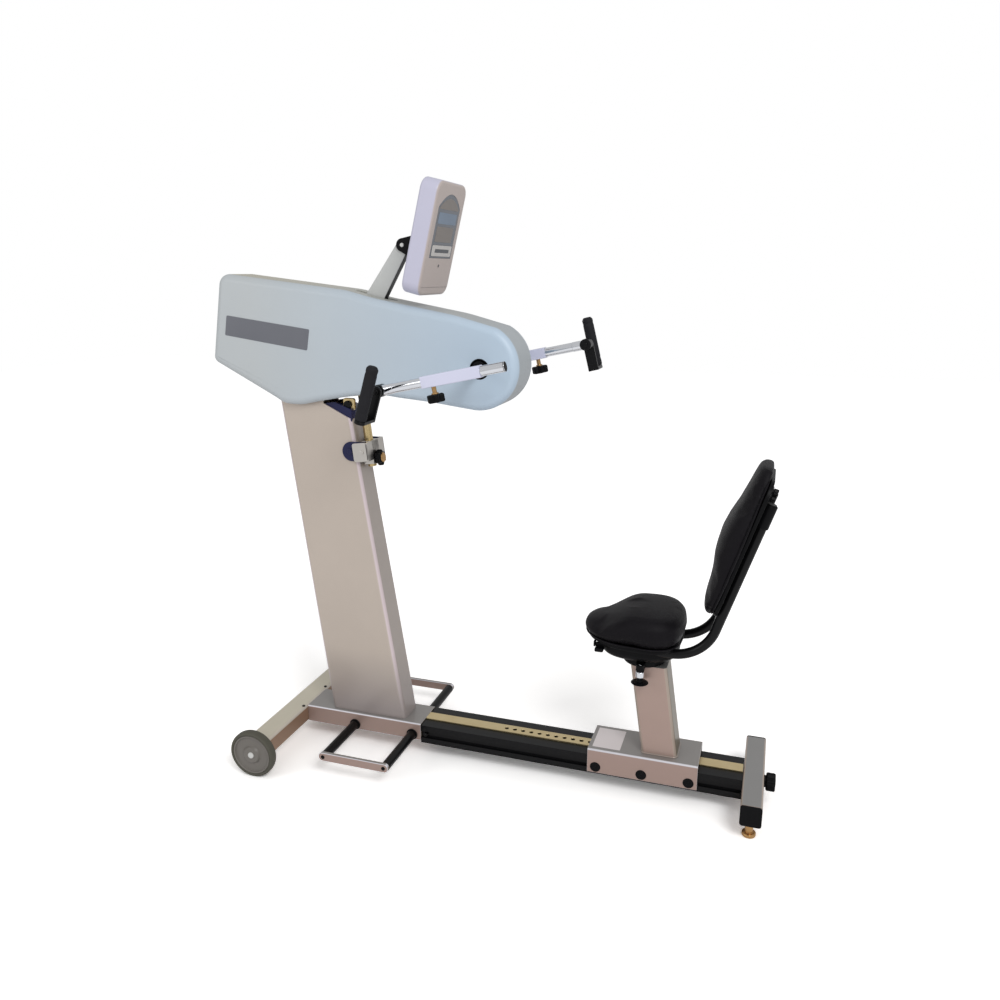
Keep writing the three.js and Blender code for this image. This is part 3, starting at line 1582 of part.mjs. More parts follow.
function makeConsole() {
  const foot = vector(armFoot[0], 0, armFoot[1] - consoleArmWidth + framePlate + gap);
  const top = vector(consolePivot[0], 0, consolePivot[1]);
  const half = consoleArmThickness / 2;
  const broad = consoleArmWidth / 2;
  const armShape = new THREE.Shape();
  const lean = Math.atan2(top.x - foot.x, top.z - foot.z);
  armShape.moveTo(foot.x - broad / 2, foot.z);
  armShape.lineTo(foot.x + broad, foot.z);
  armShape.lineTo(foot.x + armToeShare * broad, foot.z + broad);
  armShape.absarc(top.x, top.z, consoleArmEndRadius, -lean, Math.PI - lean, false);
  armShape.lineTo(foot.x - broad / 2, foot.z + armHeelShare * broad);
  const arm = pressed(armShape, [-half, half]);
  const armBore = bore(
    vector(top.x, -consoleWidth, top.z),
    vector(top.x, consoleWidth, top.z),
    consolePinRadius + gap,
    pinSides,
  );
  place("console_arm", without(arm, armBore), silverPaint, head);

  const consoleFrame = frameAt(head, top.x, 0, top.z, degrees(consoleTilt));
  const cheekShape = new THREE.Shape();
  cheekShape.moveTo(consoleStandoff - gap, -kneePlateHeight / 2);
  cheekShape.lineTo(consoleStandoff - gap, kneePlateHeight / 2);
  cheekShape.absarc(0, 0, consoleArmEndRadius, Math.PI / 2, (3 * Math.PI) / 2, false);
  const inner = half + gap;
  const cheeks = sides.map(({ sign }) =>
    pressed(cheekShape, sign < 0 ? [-inner - consoleCheek, -inner] : [inner, inner + consoleCheek]),
  );
  const backPlate = block(
    [consoleStandoff - gap - kneePlateThickness, consoleStandoff - gap],
    [-kneePlateWidth / 2, kneePlateWidth / 2],
    [-kneePlateHeight / 2, kneePlateHeight / 2],
  );
  const pinReach = inner + weldSink;
  const pin = bar(vector(0, -pinReach, 0), vector(0, pinReach, 0), consolePinRadius, pinSides);
  place("console_knuckle", joined(...cheeks, backPlate, pin), blackPlastic, consoleFrame);

  const turn = new THREE.Matrix4().makeRotationZ(-Math.PI / 2);
  const low = -consoleBelow;
  const halfConsole = consoleWidth / 2;
  const caseShape = roundedOutline([-halfConsole, halfConsole], [low, low + consoleHeight], consoleCorner);
  const caseSolid = pressed(caseShape, [0, consoleDepth], {
    bevelEnabled: true,
    bevelThickness: consoleEdge,
    bevelSize: consoleEdge,
    bevelOffset: -consoleEdge,
    bevelSegments: 2,
    curveSegments: plainCurve,
  })
    .applyMatrix4(turn)
    .translate(consoleStandoff, 0, 0);
  const screenLow = low + screenRise;
  const screenShape = (grow) => {
    const shape = new THREE.Shape();
    const edge = screenWidth / 2 + grow;
    shape.moveTo(-edge, screenLow - grow);
    shape.lineTo(edge, screenLow - grow);
    const middle = screenLow + screenHeight;
    const arch = screenWidth / 4;
    shape.lineTo(edge, middle - arch);
    shape.quadraticCurveTo(0, middle + arch + 2 * grow, -edge, middle - arch);
    return shape;
  };
  const front = consoleStandoff + consoleDepth;
  const recess = pressed(screenShape(gap), [0, consoleDepth])
    .applyMatrix4(turn)
    .translate(front - screenThickness, 0, 0);
  place("console_case", without(caseSolid, recess), shellPaint, consoleFrame);
  const screen = pressed(screenShape(0), [0, screenThickness - gap])
    .applyMatrix4(turn)
    .translate(front - screenThickness + gap, 0, 0);
  place("console_screen", screen, screenGrey, consoleFrame);
}

function makeStrut() {
  const eye = vector(pivotX + strutEyeAhead, 0, pivotHeight);
  const hinge = vector(clampPivotX, 0, clampPivotHeight);
  const length = eye.distanceTo(hinge);
  const lean = Math.atan2(eye.x - hinge.x, eye.z - hinge.z);
  const cheekOuter = columnWidth / 2 + gap + cheekThickness;
  const frontX = columnFrontX(clampRise);

  const cheekShape = new THREE.Shape();
  const cheekFront = clampPivotX + clampPinRadius + clampWall;
  cheekShape.moveTo(cheekFront, clampPivotHeight - cheekRadius);
  cheekShape.lineTo(cheekFront, clampPivotHeight + cheekRadius);
  const cheekRear = frontX - cheekReach + cheekRadius / 2;
  cheekShape.absarc(cheekRear, clampPivotHeight, cheekRadius, Math.PI / 2, (3 * Math.PI) / 2, false);
  const cheeks = sides.map(({ sign }) => {
    const inner = columnWidth / 2 + gap;
    const ys = sign < 0 ? [-cheekOuter, -inner] : [inner, cheekOuter];
    return pressed(cheekShape, ys, { curveSegments: roundCurve });
  });
  const bolt = bar(
    vector(yokeX, -cheekOuter + weldSink, clampPivotHeight),
    vector(yokeX, cheekOuter - weldSink, clampPivotHeight),
    yokeBoltRadius,
    pinSides,
  );
  const pinHoles = bore(
    vector(hinge.x, -columnWidth, hinge.z),
    vector(hinge.x, columnWidth, hinge.z),
    clampPinRadius + gap,
    pinSides,
  );
  place("strut_yoke", without(joined(...cheeks, bolt), pinHoles), navyPaint);

  const clamp = frameAt(model, hinge.x, 0, hinge.z, lean);
  const high = clampHeight / 2;
  const low = -clampLowReach;
  const coreBack = -strutRadius - slip - weldSink;
  const coreFront = strutRadius + slip + clampWall + weldSink;
  const armInner = cheekOuter + gap;
  const armOuter = armInner + clampArmThickness;
  const core = block([coreBack, coreFront], [-clampCoreWidth / 2, clampCoreWidth / 2], [low, high]);
  const web = block([coreFront - clampWall, coreFront], [-armOuter, armOuter], [-high, high]);
  const arms = sides.map(({ sign }) => {
    const span = sign < 0 ? [-armOuter, -armInner] : [armInner, armOuter];
    return block([-clampArmBack, coreFront], span, [-high, high]);
  });
  const pins = sides.map(({ sign }) =>
    bar(
      vector(0, sign * (columnWidth / 2 + gap), 0),
      vector(0, sign * (armInner + weldSink), 0),
      clampPinRadius,
      pinSides,
    ),
  );
  const strutBore = bore(vector(0, 0, -clampHeight), vector(0, 0, clampHeight), strutRadius + slip);
  const knobBore = bore(
    vector(0, 0, -clampKnobDrop),
    vector(2 * coreFront, 0, -clampKnobDrop),
    knobStemRadius + gap,
    pinSides,
  );
  const clampSolid = joined(core, web, ...arms, ...pins);
  place("strut_clamp", without(clampSolid, strutBore, knobBore), brightMetal, clamp);

  const tube = bar(vector(0, 0, -strutTail), vector(0, 0, length - strutEyeRadius), strutRadius);
  const eyeHalf = strutEyeWidth / 2;
  const ring = bar(vector(0, -eyeHalf, length), vector(0, eyeHalf, length), strutEyeRadius);
  const neckHeights = [length - 2 * strutEyeRadius, length];
  const neck = block([-strutRadius / 2, strutRadius / 2], [-eyeHalf, eyeHalf], neckHeights);
  const eyeBore = bore(
    vector(0, -strutEyeWidth, length),
    vector(0, strutEyeWidth, length),
    strutPinRadius + strutEyePlay,
  );
  place("tilt_strut", without(joined(tube, neck, ring), eyeBore), zinc, clamp);

  const stem = coreFront + gap - strutRadius - slip;
  const knob = lobedKnob(clampKnobRadius, clampKnobLength, knobStemRadius, stem);
  const mesh = place("clamp_knob", knob, blackPlastic, clamp);
  mesh.rotation.y = Math.PI / 2;
  mesh.position.set(coreFront + gap, 0, -clampKnobDrop);
}

makeBase();
sides.forEach(makeWheel);
makeFootRests();
makeColumn();
makeRail();
makeCrossbar();
makeCarriage();
makePost();
makeSeat();
makeBack();
makeShells();
makeHeadFrame();
const crank = makeDrive();
sides.forEach((side) => makeArm(crank, side));
makeConsole();
makeStrut();

// The part stands on the floor with its footprint centred on the origin.
const bounds = new THREE.Box3().setFromObject(model, true);
const part = new THREE.Group();
model.position.set(-(bounds.min.x + bounds.max.x) / 2, -(bounds.min.y + bounds.max.y) / 2, -bounds.min.z);
part.add(model);

export default part;
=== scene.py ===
# %% [markdown]
# # An arm ergometer, dressed piece by piece
#
# The packed model holds the arm ergometer as plain solids. This lesson puts the finished surfaces round
# them: enamel, chrome, moulded plastic, vinyl and rubber. Everything is in metres, in the model's own
# frame: the rail runs along +X, the near side is -Y and +Z is up. Each step first says what the piece is
# on the real machine, how it could be made, and why it is made this way.

import json
import math

import bmesh
import bpy
import numpy as np
from mathutils import Matrix, Vector


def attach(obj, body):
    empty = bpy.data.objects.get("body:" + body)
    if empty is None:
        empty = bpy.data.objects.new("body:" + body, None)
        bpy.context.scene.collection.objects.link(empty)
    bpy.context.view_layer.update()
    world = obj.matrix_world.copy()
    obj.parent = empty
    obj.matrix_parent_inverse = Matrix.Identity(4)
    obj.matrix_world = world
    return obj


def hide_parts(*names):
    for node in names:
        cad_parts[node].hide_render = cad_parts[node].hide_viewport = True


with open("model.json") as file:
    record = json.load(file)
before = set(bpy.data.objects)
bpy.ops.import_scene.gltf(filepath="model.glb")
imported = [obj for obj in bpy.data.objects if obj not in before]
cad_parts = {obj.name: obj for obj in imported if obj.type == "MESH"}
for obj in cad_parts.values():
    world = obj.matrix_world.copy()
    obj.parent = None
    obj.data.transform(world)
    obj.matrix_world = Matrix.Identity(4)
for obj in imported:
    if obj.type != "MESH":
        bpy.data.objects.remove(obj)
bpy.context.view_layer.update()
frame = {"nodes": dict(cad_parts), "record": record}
scene = bpy.context.scene

# %% [markdown]
# ## The camera
# The picture was taken from in front of the near side, a little to the seat's side and from above the
# head. A 30 mm lens on a full frame gives the same slight convergence. The camera could be set by turning
# it in degrees, but a point that it looks at is easier to read and to correct.

# %% Place the camera
CAMERA_PLACE = Vector((0.6368, -1.8346, 1.2097))
CAMERA_AIM = Vector((0.0286, 0.0, 0.6921))
CAMERA_LENS, FULL_FRAME = 30.37, 36.0
CAMERA_ROLL = -0.004

camera = bpy.data.objects.new("camera", bpy.data.cameras.new("camera"))
camera.data.lens = CAMERA_LENS
camera.data.sensor_width = FULL_FRAME
camera.location = CAMERA_PLACE
turn = (CAMERA_AIM - CAMERA_PLACE).to_track_quat("-Z", "Y").to_matrix()
camera.rotation_euler = (turn @ Matrix.Rotation(CAMERA_ROLL, 3, "Z")).to_euler()
scene.collection.objects.link(camera)
scene.camera = camera
print("camera", [round(v, 3) for v in camera.location])

# %% [markdown]
# ## Shader maths
# A material is a network of nodes, which is hard to read as a list of links. A small class wraps one
# socket and overloads the arithmetic operators, so that a pattern can be written as a formula. Only
# numbers go through it, because a Math node turns a colour grey.

# %% A class for shader numbers
class Number:
    """A number that a material works out at each point of a surface."""

    def __init__(self, paint, socket):
        self.paint = paint
        self.socket = socket

    def _maths(self, operation, *terms):
        return self.paint.node("ShaderNodeMath", {"operation": operation}, *terms)

    def __add__(self, other):
        return self._maths("ADD", self, other)

    def __radd__(self, other):
        return self._maths("ADD", other, self)

    def __sub__(self, other):
        return self._maths("SUBTRACT", self, other)

    def __rsub__(self, other):
        return self._maths("SUBTRACT", other, self)

    def __mul__(self, other):
        return self._maths("MULTIPLY", self, other)

    def __rmul__(self, other):
        return self._maths("MULTIPLY", other, self)

    def __pow__(self, other):
        return self._maths("POWER", self, other)

    def sized(self):
        """The number without its sign."""
        return self._maths("ABSOLUTE", self)

    def larger(self, other):
        """The larger of the two numbers."""
        return self._maths("MAXIMUM", self, other)

    def above(self, edge, softness):
        """A ramp from 0 to 1 that is centred on edge and softness wide."""
        return self.paint.node(
            "ShaderNodeMapRange",
            {"clamp": True},
            **{"Value": self, "From Min": edge - softness / 2, "From Max": edge + softness / 2},
        )


print("shader numbers:", Number.__doc__)

# %% A class for materials
# Sockets of a Mix node that mixes colours.
MIX_FIRST, MIX_RESULT = 6, 2
# Where the painted highlight on rounded edges begins, and how soft its border is.
EDGE_HIGHLIGHT_START, EDGE_HIGHLIGHT_SOFTNESS = 0.92, 0.08


class Paint:
    """A material under construction: its nodes, and the surface shader that they feed."""

    def __init__(self, name, **constants):
        self.material = bpy.data.materials.new(name)
        self.material.use_nodes = True
        self.tree = self.material.node_tree
        self.shader = self.tree.nodes["Principled BSDF"]
        self.place = self.node("ShaderNodeTexCoord", output="Object")
        for socket, value in constants.items():
            self.shader.inputs[socket.replace("_", " ")].default_value = value

    def node(self, kind, settings=None, *terms, output=0, **sockets):
        """A node of that type. Settings come first, then the values or links of its sockets."""
        made = self.tree.nodes.new(kind)
        for setting, value in (settings or {}).items():
            setattr(made, setting, value)
        for where, value in [*enumerate(terms), *sockets.items()]:
            if isinstance(value, Number):
                self.tree.links.new(value.socket, made.inputs[where])
            elif value is not None:
                made.inputs[where].default_value = value
        return Number(self, made.outputs[output])

    def facing(self, axis):
        """How far the surface looks along X, Y or Z: 1 straight along it, 0 across it."""
        normal = self.node("ShaderNodeTexCoord", output="Normal")
        return self.node("ShaderNodeSeparateXYZ", None, normal, output=axis)

    def edges(self):
        """1 on rounded edges, which look between two axes, and 0 on faces that look along one: the mask of
        the painted edge highlight.
        """
        squarest = self.facing(0).sized().larger(self.facing(1).sized()).larger(self.facing(2).sized())
        return 1 - squarest.above(EDGE_HIGHLIGHT_START, EDGE_HIGHLIGHT_SOFTNESS)

    def along(self, axis):
        """The place along X, Y or Z in metres, for axis 0, 1 or 2."""
        return self.node("ShaderNodeSeparateXYZ", None, self.place, output=axis)

    def noise(self, size, detail=3.0, roughness=0.55):
        """Cloudy noise from 0 to 1 whose blotches are about size metres across."""
        sockets = {"Vector": self.place, "Scale": 1.0 / size, "Detail": detail, "Roughness": roughness}
        return self.node("ShaderNodeTexNoise", None, **sockets)

    def mixed(self, share, first, second):
        """The colour between first and second, as share says."""
        between = [None] * (MIX_FIRST - 1)
        ends = [end if isinstance(end, Number) else (*end, 1.0) for end in (first, second)]
        return self.node("ShaderNodeMix", {"data_type": "RGBA"}, share, *between, *ends, output=MIX_RESULT)

    def feed(self, **sockets):
        """Links numbers or colours to the surface shader."""
        for name, value in sockets.items():
            self.tree.links.new(value.socket, self.shader.inputs[name.replace("_", " ")])
        return self

    def bump(self, height, depth, strength=1.0):
        """Raises the surface by height times depth, in metres."""
        relief = self.node("ShaderNodeBump", None, Strength=strength, Distance=depth, Height=height)
        return self.feed(Normal=relief)


print("materials:", Paint.__doc__)

# %% [markdown]
# ## Enamel
# The frame is sprayed in a warm satin silver. Up close such enamel is never even: the spray leaves a fine
# orange peel, the flakes lie unevenly, and the gloss drifts from place to place. All three are noises of
# different sizes, so that the big flat sides don't read as plastic. Light and shade are also painted into the
# colour: faces that look up or along +X get painted tones, rounded edges a painted highlight, and the
# column's foot a painted shade.

# %% Enamels
CLOUD, FLAKE, GLOSS_DRIFT, PEEL, PEEL_DEPTH = 0.09, 0.0011, 0.035, 0.0024, 0.00005
# Height and width of the fade into the painted shade at the foot of a tall piece.
FOOT_SHADE_HEIGHT, FOOT_SHADE_FADE = 0.19, 0.16


def darker(colour, share):
    """The colour times share."""
    return tuple(share * part for part in colour)


def enamel(
    name, colour, upper=None, front=None, edge=None, low=None, roughness=0.36, metallic=0.0, gloss=0.3
):
    """Sprayed paint with clouds and flakes in the colour and an orange peel in the gloss. Light and shade are
    painted into the colour: faces that look up or forward have painted tones of their own, rounded edges a
    painted highlight, and the foot of a tall piece a painted shade."""
    paint = Paint(name, Metallic=metallic, Coat_Weight=gloss, Coat_Roughness=0.14, Specular_IOR_Level=gloss)
    clouds = paint.noise(CLOUD, 2.0) * 0.7 + paint.noise(FLAKE, 1.0) * 0.3
    blend = paint.mixed(clouds, colour, darker(colour, 0.9))
    # Painted light and shade: tones for faces that look up and along +X, and a painted highlight on rounded
    # edges.
    shares = (paint.facing(2).above(0.5, 0.5), paint.facing(0).above(0.7, 0.5), paint.edges())
    for share, tone in zip(shares, (upper, front, edge)):
        if tone:
            blend = paint.mixed(share, blend, paint.mixed(clouds, tone, darker(tone, 0.9)))
    # Painted shade: the colour darkens towards the foot of a tall piece.
    if low:
        blend = paint.mixed(paint.along(2).above(FOOT_SHADE_HEIGHT, FOOT_SHADE_FADE), low, blend)
    paint.feed(Base_Color=blend)
    paint.feed(Roughness=roughness + 0.10 * (paint.noise(GLOSS_DRIFT) - 0.5) + 0.05 * clouds)
    return paint.bump(paint.noise(PEEL, 1.5), PEEL_DEPTH).material


# Each enamel's first colour is how its near faces look in the light. The tones after it are painted light and
# shade for faces that look up and along +X, and a painted edge highlight. The column, post and cross tube
# enamels are lit and shaded copies of the one silver enamel.
silver_enamel = enamel(
    "silver_enamel", (0.37, 0.265, 0.23), (0.27, 0.255, 0.245), (0.22, 0.175, 0.13), (0.66, 0.65, 0.69),
    metallic=0.35,
)
post_enamel = enamel(
    "post_enamel", (0.40, 0.29, 0.25), (0.26, 0.255, 0.25), (0.15, 0.12, 0.075), (0.42, 0.345, 0.29),
    metallic=0.35,
)
column_enamel = enamel(
    "column_enamel", (0.53, 0.46, 0.40), (0.60, 0.57, 0.55), (0.40, 0.355, 0.325), (0.68, 0.58, 0.60),
    low=(0.33, 0.29, 0.28), roughness=0.38, metallic=0.35,
)
# The cross tube's brown sides are painted shade, and its yellowish top is painted light.
cross_enamel = enamel(
    "cross_enamel", (0.32, 0.20, 0.13), (0.58, 0.535, 0.43), None, (0.62, 0.57, 0.50), metallic=0.35
)
black_enamel = enamel("black_enamel", (0.003, 0.003, 0.0035), roughness=0.3, gloss=0.13)
navy_enamel = enamel("navy_enamel", (0.012, 0.014, 0.06), roughness=0.35, metallic=0.1, gloss=0.2)
print("enamels", silver_enamel.name, column_enamel.name, black_enamel.name, navy_enamel.name)

# %% [markdown]
# ## Moulded plastic
# The head's housing and the console are pale blue-grey plastic with a fine spark-eroded grain, and the
# knobs, caps and end plugs are black plastic with a coarser one. The grain is a small noise in the bump,
# and handling leaves a slightly polished cloud in the gloss.

# %% Plastics
PLASTIC_CLOUD, PLASTIC_POLISH, GRAIN, GRAIN_DEPTH = 0.12, 0.05, 0.0006, 0.00003
FINE_GRAIN, GLASS_DEPTH = 0.0004, 0.000005


def grained(paint, roughness, grain=GRAIN, depth=GRAIN_DEPTH):
    """Polished clouds in the gloss and a fine grain in the relief."""
    paint.feed(Roughness=roughness + 0.12 * (paint.noise(PLASTIC_POLISH) - 0.5))
    return paint.bump(paint.noise(grain, 2.0), depth).material


def moulded(name, colour, shade, roughness, grain=GRAIN, depth=GRAIN_DEPTH, gloss=0.5):
    """Moulded plastic: nearly even colour, polished clouds in the gloss, and a fine grain."""
    paint = Paint(name, Specular_IOR_Level=gloss)
    paint.feed(Base_Color=paint.mixed(paint.noise(PLASTIC_CLOUD, 2.0), colour, shade))
    return grained(paint, roughness, grain, depth)


shell_plastic = moulded("shell_plastic", (0.64, 0.665, 0.72), (0.60, 0.63, 0.69), 0.42)
black_plastic = moulded("black_plastic", (0.002, 0.002, 0.0025), (0.004, 0.004, 0.005), 0.42, gloss=0.1)
grey_plastic = moulded("grey_plastic", (0.17, 0.155, 0.14), (0.13, 0.12, 0.105), 0.45)
smoked_screen = moulded("smoked_screen", (0.05, 0.055, 0.065), (0.035, 0.04, 0.05), 0.16, depth=GLASS_DEPTH)
print("plastics", shell_plastic.name, black_plastic.name, grey_plastic.name, smoked_screen.name)

# %% [markdown]
# ## Metals
# Chrome rods, a yellow zinc tube, turned brass feet and plain steel all differ in colour and in how far
# the surface scatters light. Fine streaks and smudges in the roughness keep them from looking like a
# perfect mirror.

# %% Metals
METAL_SMUDGE, STREAK, SCRATCH_DEPTH = 0.03, 0.004, 0.000008


def metal(name, colour, shade, roughness):
    """Bare or plated metal: tinted clouds, smudged gloss, and very shallow scratches."""
    paint = Paint(name, Metallic=1.0)
    smudge = paint.noise(METAL_SMUDGE)
    fine = paint.noise(STREAK, 4.0, 0.7)
    paint.feed(Base_Color=paint.mixed(smudge, colour, shade))
    paint.feed(Roughness=roughness + 0.08 * smudge + 0.08 * fine)
    return paint.bump(fine, SCRATCH_DEPTH).material


chrome = metal("chrome", (0.80, 0.82, 0.86), (0.70, 0.72, 0.76), 0.03)
yellow_zinc = metal("yellow_zinc", (0.72, 0.58, 0.34), (0.60, 0.45, 0.20), 0.18)
steel = metal("steel", (0.60, 0.57, 0.53), (0.52, 0.50, 0.47), 0.25)
brass = metal("brass", (0.60, 0.38, 0.18), (0.42, 0.24, 0.09), 0.18)
print("metals", chrome.name, yellow_zinc.name, steel.name, brass.name)

# %% [markdown]
# ## Rubber and vinyl
# Tyres, bumper and grips are dull rubber. The seat and backrest are black grained vinyl: the grain is a
# net of tiny cells, which a Voronoi distance gives, softened by noise.

# %% Rubber and vinyl
DUST, VINYL_CLOUD, VINYL_POLISH, VINYL_PUCKER = 0.02, 0.05, 0.06, 0.004
CELLS_PER_METRE, CREASE_PLACE, CREASE_SOFTNESS, VINYL_DEPTH = 620.0, 0.12, 0.22, 0.00018


def rubbery(name, colour, shade, roughness, grain, depth):
    """Rubber or foam: dusty clouds in the colour and a pebbled bump."""
    paint = Paint(name, Specular_IOR_Level=0.15)
    dust = paint.noise(DUST, 5.0, 0.7)
    paint.feed(Base_Color=paint.mixed(dust, colour, shade))
    paint.feed(Roughness=roughness + 0.1 * (dust - 0.5))
    return paint.bump(paint.noise(grain, 2.0), depth).material


def grained_vinyl(name, colour, shade, roughness):
    """Embossed vinyl: raised cells a millimetre or two across, shinier on their tops."""
    paint = Paint(name, Specular_IOR_Level=0.12)
    net = {"feature": "DISTANCE_TO_EDGE"}
    cells = paint.node("ShaderNodeTexVoronoi", net, Vector=paint.place, Scale=CELLS_PER_METRE)
    creases = cells.above(CREASE_PLACE, CREASE_SOFTNESS)
    paint.feed(Base_Color=paint.mixed(paint.noise(VINYL_CLOUD), colour, shade))
    paint.feed(Roughness=roughness + 0.14 * (1 - creases) + 0.08 * (paint.noise(VINYL_POLISH) - 0.5))
    return paint.bump(creases + 0.5 * paint.noise(VINYL_PUCKER), VINYL_DEPTH, 0.8).material


tyre_rubber = rubbery("tyre_rubber", (0.075, 0.072, 0.055), (0.10, 0.097, 0.08), 0.72, 0.002, 0.0001)
black_rubber = rubbery("black_rubber", (0.010, 0.010, 0.012), (0.018, 0.018, 0.021), 0.7, 0.0012, 0.00008)
black_vinyl = grained_vinyl("black_vinyl", (0.0025, 0.002, 0.003), (0.005, 0.004, 0.006), 0.4)
print("soft finishes", tyre_rubber.name, black_rubber.name, black_vinyl.name)

# %% [markdown]
# Some pieces have a finish of their own. The housing's side is pale blue-grey, and its top band and rim are
# beige; so is the console's front. Both colours come from one material, which tells them apart by the
# distance from the middle plane or along the console's own front direction.

# %% Two-tone housing and console
DRIFT_MIDDLE, DRIFT_LENGTH, BAND_HALF, CONSOLE_EDGE = -0.27, 0.62, 0.046, 0.0865
CONSOLE_PITCH, CONSOLE_AXIS = 14.0, (-0.1973, 1.274)
CONSOLE_TILT = math.radians(CONSOLE_PITCH)


def two_tone(name, first, second, share_of):
    """Moulded plastic in two colours, with a share from 0 to 1 that a function of the paint gives. Each
    colour is a pair for the rear and the front end of the piece, and drifts from one to the other."""
    paint = Paint(name)
    cloud = paint.noise(PLASTIC_CLOUD, 2.0)
    drift = paint.along(0).above(DRIFT_MIDDLE, DRIFT_LENGTH)
    tones = []
    for rear_colour, front_colour in (first, second):
        drifted = paint.mixed(drift, rear_colour, front_colour)
        shaded = paint.mixed(drift, darker(rear_colour, 0.95), darker(front_colour, 0.95))
        tones.append(paint.mixed(cloud, drifted, shaded))
    paint.feed(Base_Color=paint.mixed(share_of(paint), *tones))
    return grained(paint, 0.42)


def away_from_middle(paint):
    """0 on the housing's top band, 1 on its sides."""
    return paint.along(1).sized().above(BAND_HALF, 0.004)


def console_front(paint):
    """0 on the console's sides, 1 on its front."""
    ahead = (paint.along(0) - CONSOLE_AXIS[0]) * math.cos(CONSOLE_TILT)
    ahead = ahead - (paint.along(2) - CONSOLE_AXIS[1]) * math.sin(CONSOLE_TILT)
    return ahead.above(CONSOLE_EDGE, 0.003)


BAND_TONES = ((0.43, 0.41, 0.33), (0.36, 0.39, 0.41))
SIDE_TONES = ((0.445, 0.475, 0.49), (0.43, 0.53, 0.635))
CASE_TONES = ((0.49, 0.485, 0.60),) * 2
PANEL_TONES = ((0.44, 0.38, 0.355),) * 2
housing_plastic = two_tone("housing_plastic", BAND_TONES, SIDE_TONES, away_from_middle)
console_plastic = two_tone("console_plastic", CASE_TONES, PANEL_TONES, console_front)
stalk_enamel = enamel("stalk_enamel", (0.49, 0.50, 0.49), roughness=0.35, metallic=0.1)
sleeve_enamel = enamel("sleeve_enamel", (0.64, 0.65, 0.80), roughness=0.32, metallic=0.1)
gold_strip = metal("gold_strip", (0.72, 0.60, 0.36), (0.62, 0.50, 0.28), 0.34)
label_film = moulded("label_film", (0.66, 0.61, 0.61), (0.60, 0.55, 0.55), 0.35)
plate_film = moulded("plate_film", (0.10, 0.105, 0.125), (0.125, 0.13, 0.15), 0.38, FINE_GRAIN)
panel_film = moulded("panel_film", (0.10, 0.11, 0.13), (0.13, 0.14, 0.16), 0.25, FINE_GRAIN)
arch_film = moulded("arch_film", (0.19, 0.165, 0.15), (0.155, 0.14, 0.13), 0.35, FINE_GRAIN)
window_glass = moulded("window_glass", (0.16, 0.22, 0.30), (0.10, 0.14, 0.20), 0.12, FINE_GRAIN)
key_plastic = moulded("key_plastic", (0.50, 0.48, 0.46), (0.44, 0.42, 0.41), 0.3, FINE_GRAIN)
seam_paint = moulded("seam_paint", (0.30, 0.26, 0.25), (0.26, 0.23, 0.22), 0.4, FINE_GRAIN)
print("own finishes", housing_plastic.name, console_plastic.name, plate_film.name)

# %% Finish of each material slot
FINISHES = {
    "silver_paint": silver_enamel,
    "black_paint": black_enamel,
    "navy_paint": navy_enamel,
    "shell": shell_plastic,
    "black_plastic": black_plastic,
    "grey_plastic": grey_plastic,
    "tyre": tyre_rubber,
    "rubber": black_rubber,
    "vinyl": black_vinyl,
    "chrome": chrome,
    "zinc": yellow_zinc,
    "bright_steel": steel,
    "brass": brass,
    "screen": smoked_screen,
}
slot_of = {part["node"]: part["material_slot"] for part in frame["record"]["subparts"]}
for name, solid in frame["nodes"].items():
    solid.data.materials.clear()
    solid.data.materials.append(FINISHES[slot_of[name]])
print("every solid has its finish")

# %% [markdown]
# ## Shapes as rings of points
# Nearly every piece of the machine is a skin over rings: a turned foot, a rolled tube, a moulded knob with
# rounded rims. Blender's primitives would give sharp facets, and hand modelling would hide the sizes. So
# each form here is a numpy array of rings, worked out in millimetres from the wheel end of the machine,
# and one function turns forms into a finished piece that rides on its body.

# %% Skins and soft corners
MM = 0.001
WHEEL_END = np.array((-530.3, 0.0, 0.0))
# The handle of a cubic curve that follows a quarter circle, and the most of a side that a corner takes.
ARC_HANDLE, HALF_SIDE = 0.5523, 0.49


def skin(rings, looped=False):
    """Four-sided faces between neighbouring rings. Open ends get a face each; looped joins last to first."""
    rings = np.asarray(rings, float)
    count, around = rings.shape[:2]
    index = np.arange(count * around).reshape(count, around)
    low = index if looped else index[:-1]
    high = np.roll(index, -1, 0) if looped else index[1:]
    quads = np.stack((low, np.roll(low, -1, 1), np.roll(high, -1, 1), high), -1).reshape(-1, 4)
    ends = [] if looped else [index[0, ::-1].tolist(), index[-1].tolist()]
    return rings.reshape(-1, 3), quads.tolist() + ends


def eased(corners, radius, steps=4, closed=True):
    """A cubic curve in place of each corner, close to an arc that leaves both sides at radius from it."""
    corners = np.asarray(corners, float)
    before, after = np.roll(corners, 1, 0) - corners, np.roll(corners, -1, 0) - corners
    reach = np.broadcast_to(np.asarray(radius, float), len(corners))[:, None]
    start = before * np.minimum(reach / np.linalg.norm(before, axis=1, keepdims=True), HALF_SIDE)
    end = after * np.minimum(reach / np.linalg.norm(after, axis=1, keepdims=True), HALF_SIDE)
    t = np.linspace(0, 1, steps + 1)[:, None, None]
    near = 1 - ARC_HANDLE
    curve = corners + (1 - t) ** 3 * start + 3 * (1 - t) ** 2 * t * near * start
    curve = curve + 3 * (1 - t) * t**2 * near * end + t**3 * end
    points = curve.transpose(1, 0, 2).reshape(-1, corners.shape[1])
    if closed:
        return points
    return np.vstack((corners[:1], points[steps + 1 : -steps - 1], corners[-1:]))


def arc(centre, radius, start, end, steps=12):
    """Points on a circle between two angles in degrees."""
    angle = np.radians(np.linspace(start, end, steps + 1))
    return np.column_stack((centre[0] + radius * np.cos(angle), centre[1] + radius * np.sin(angle)))


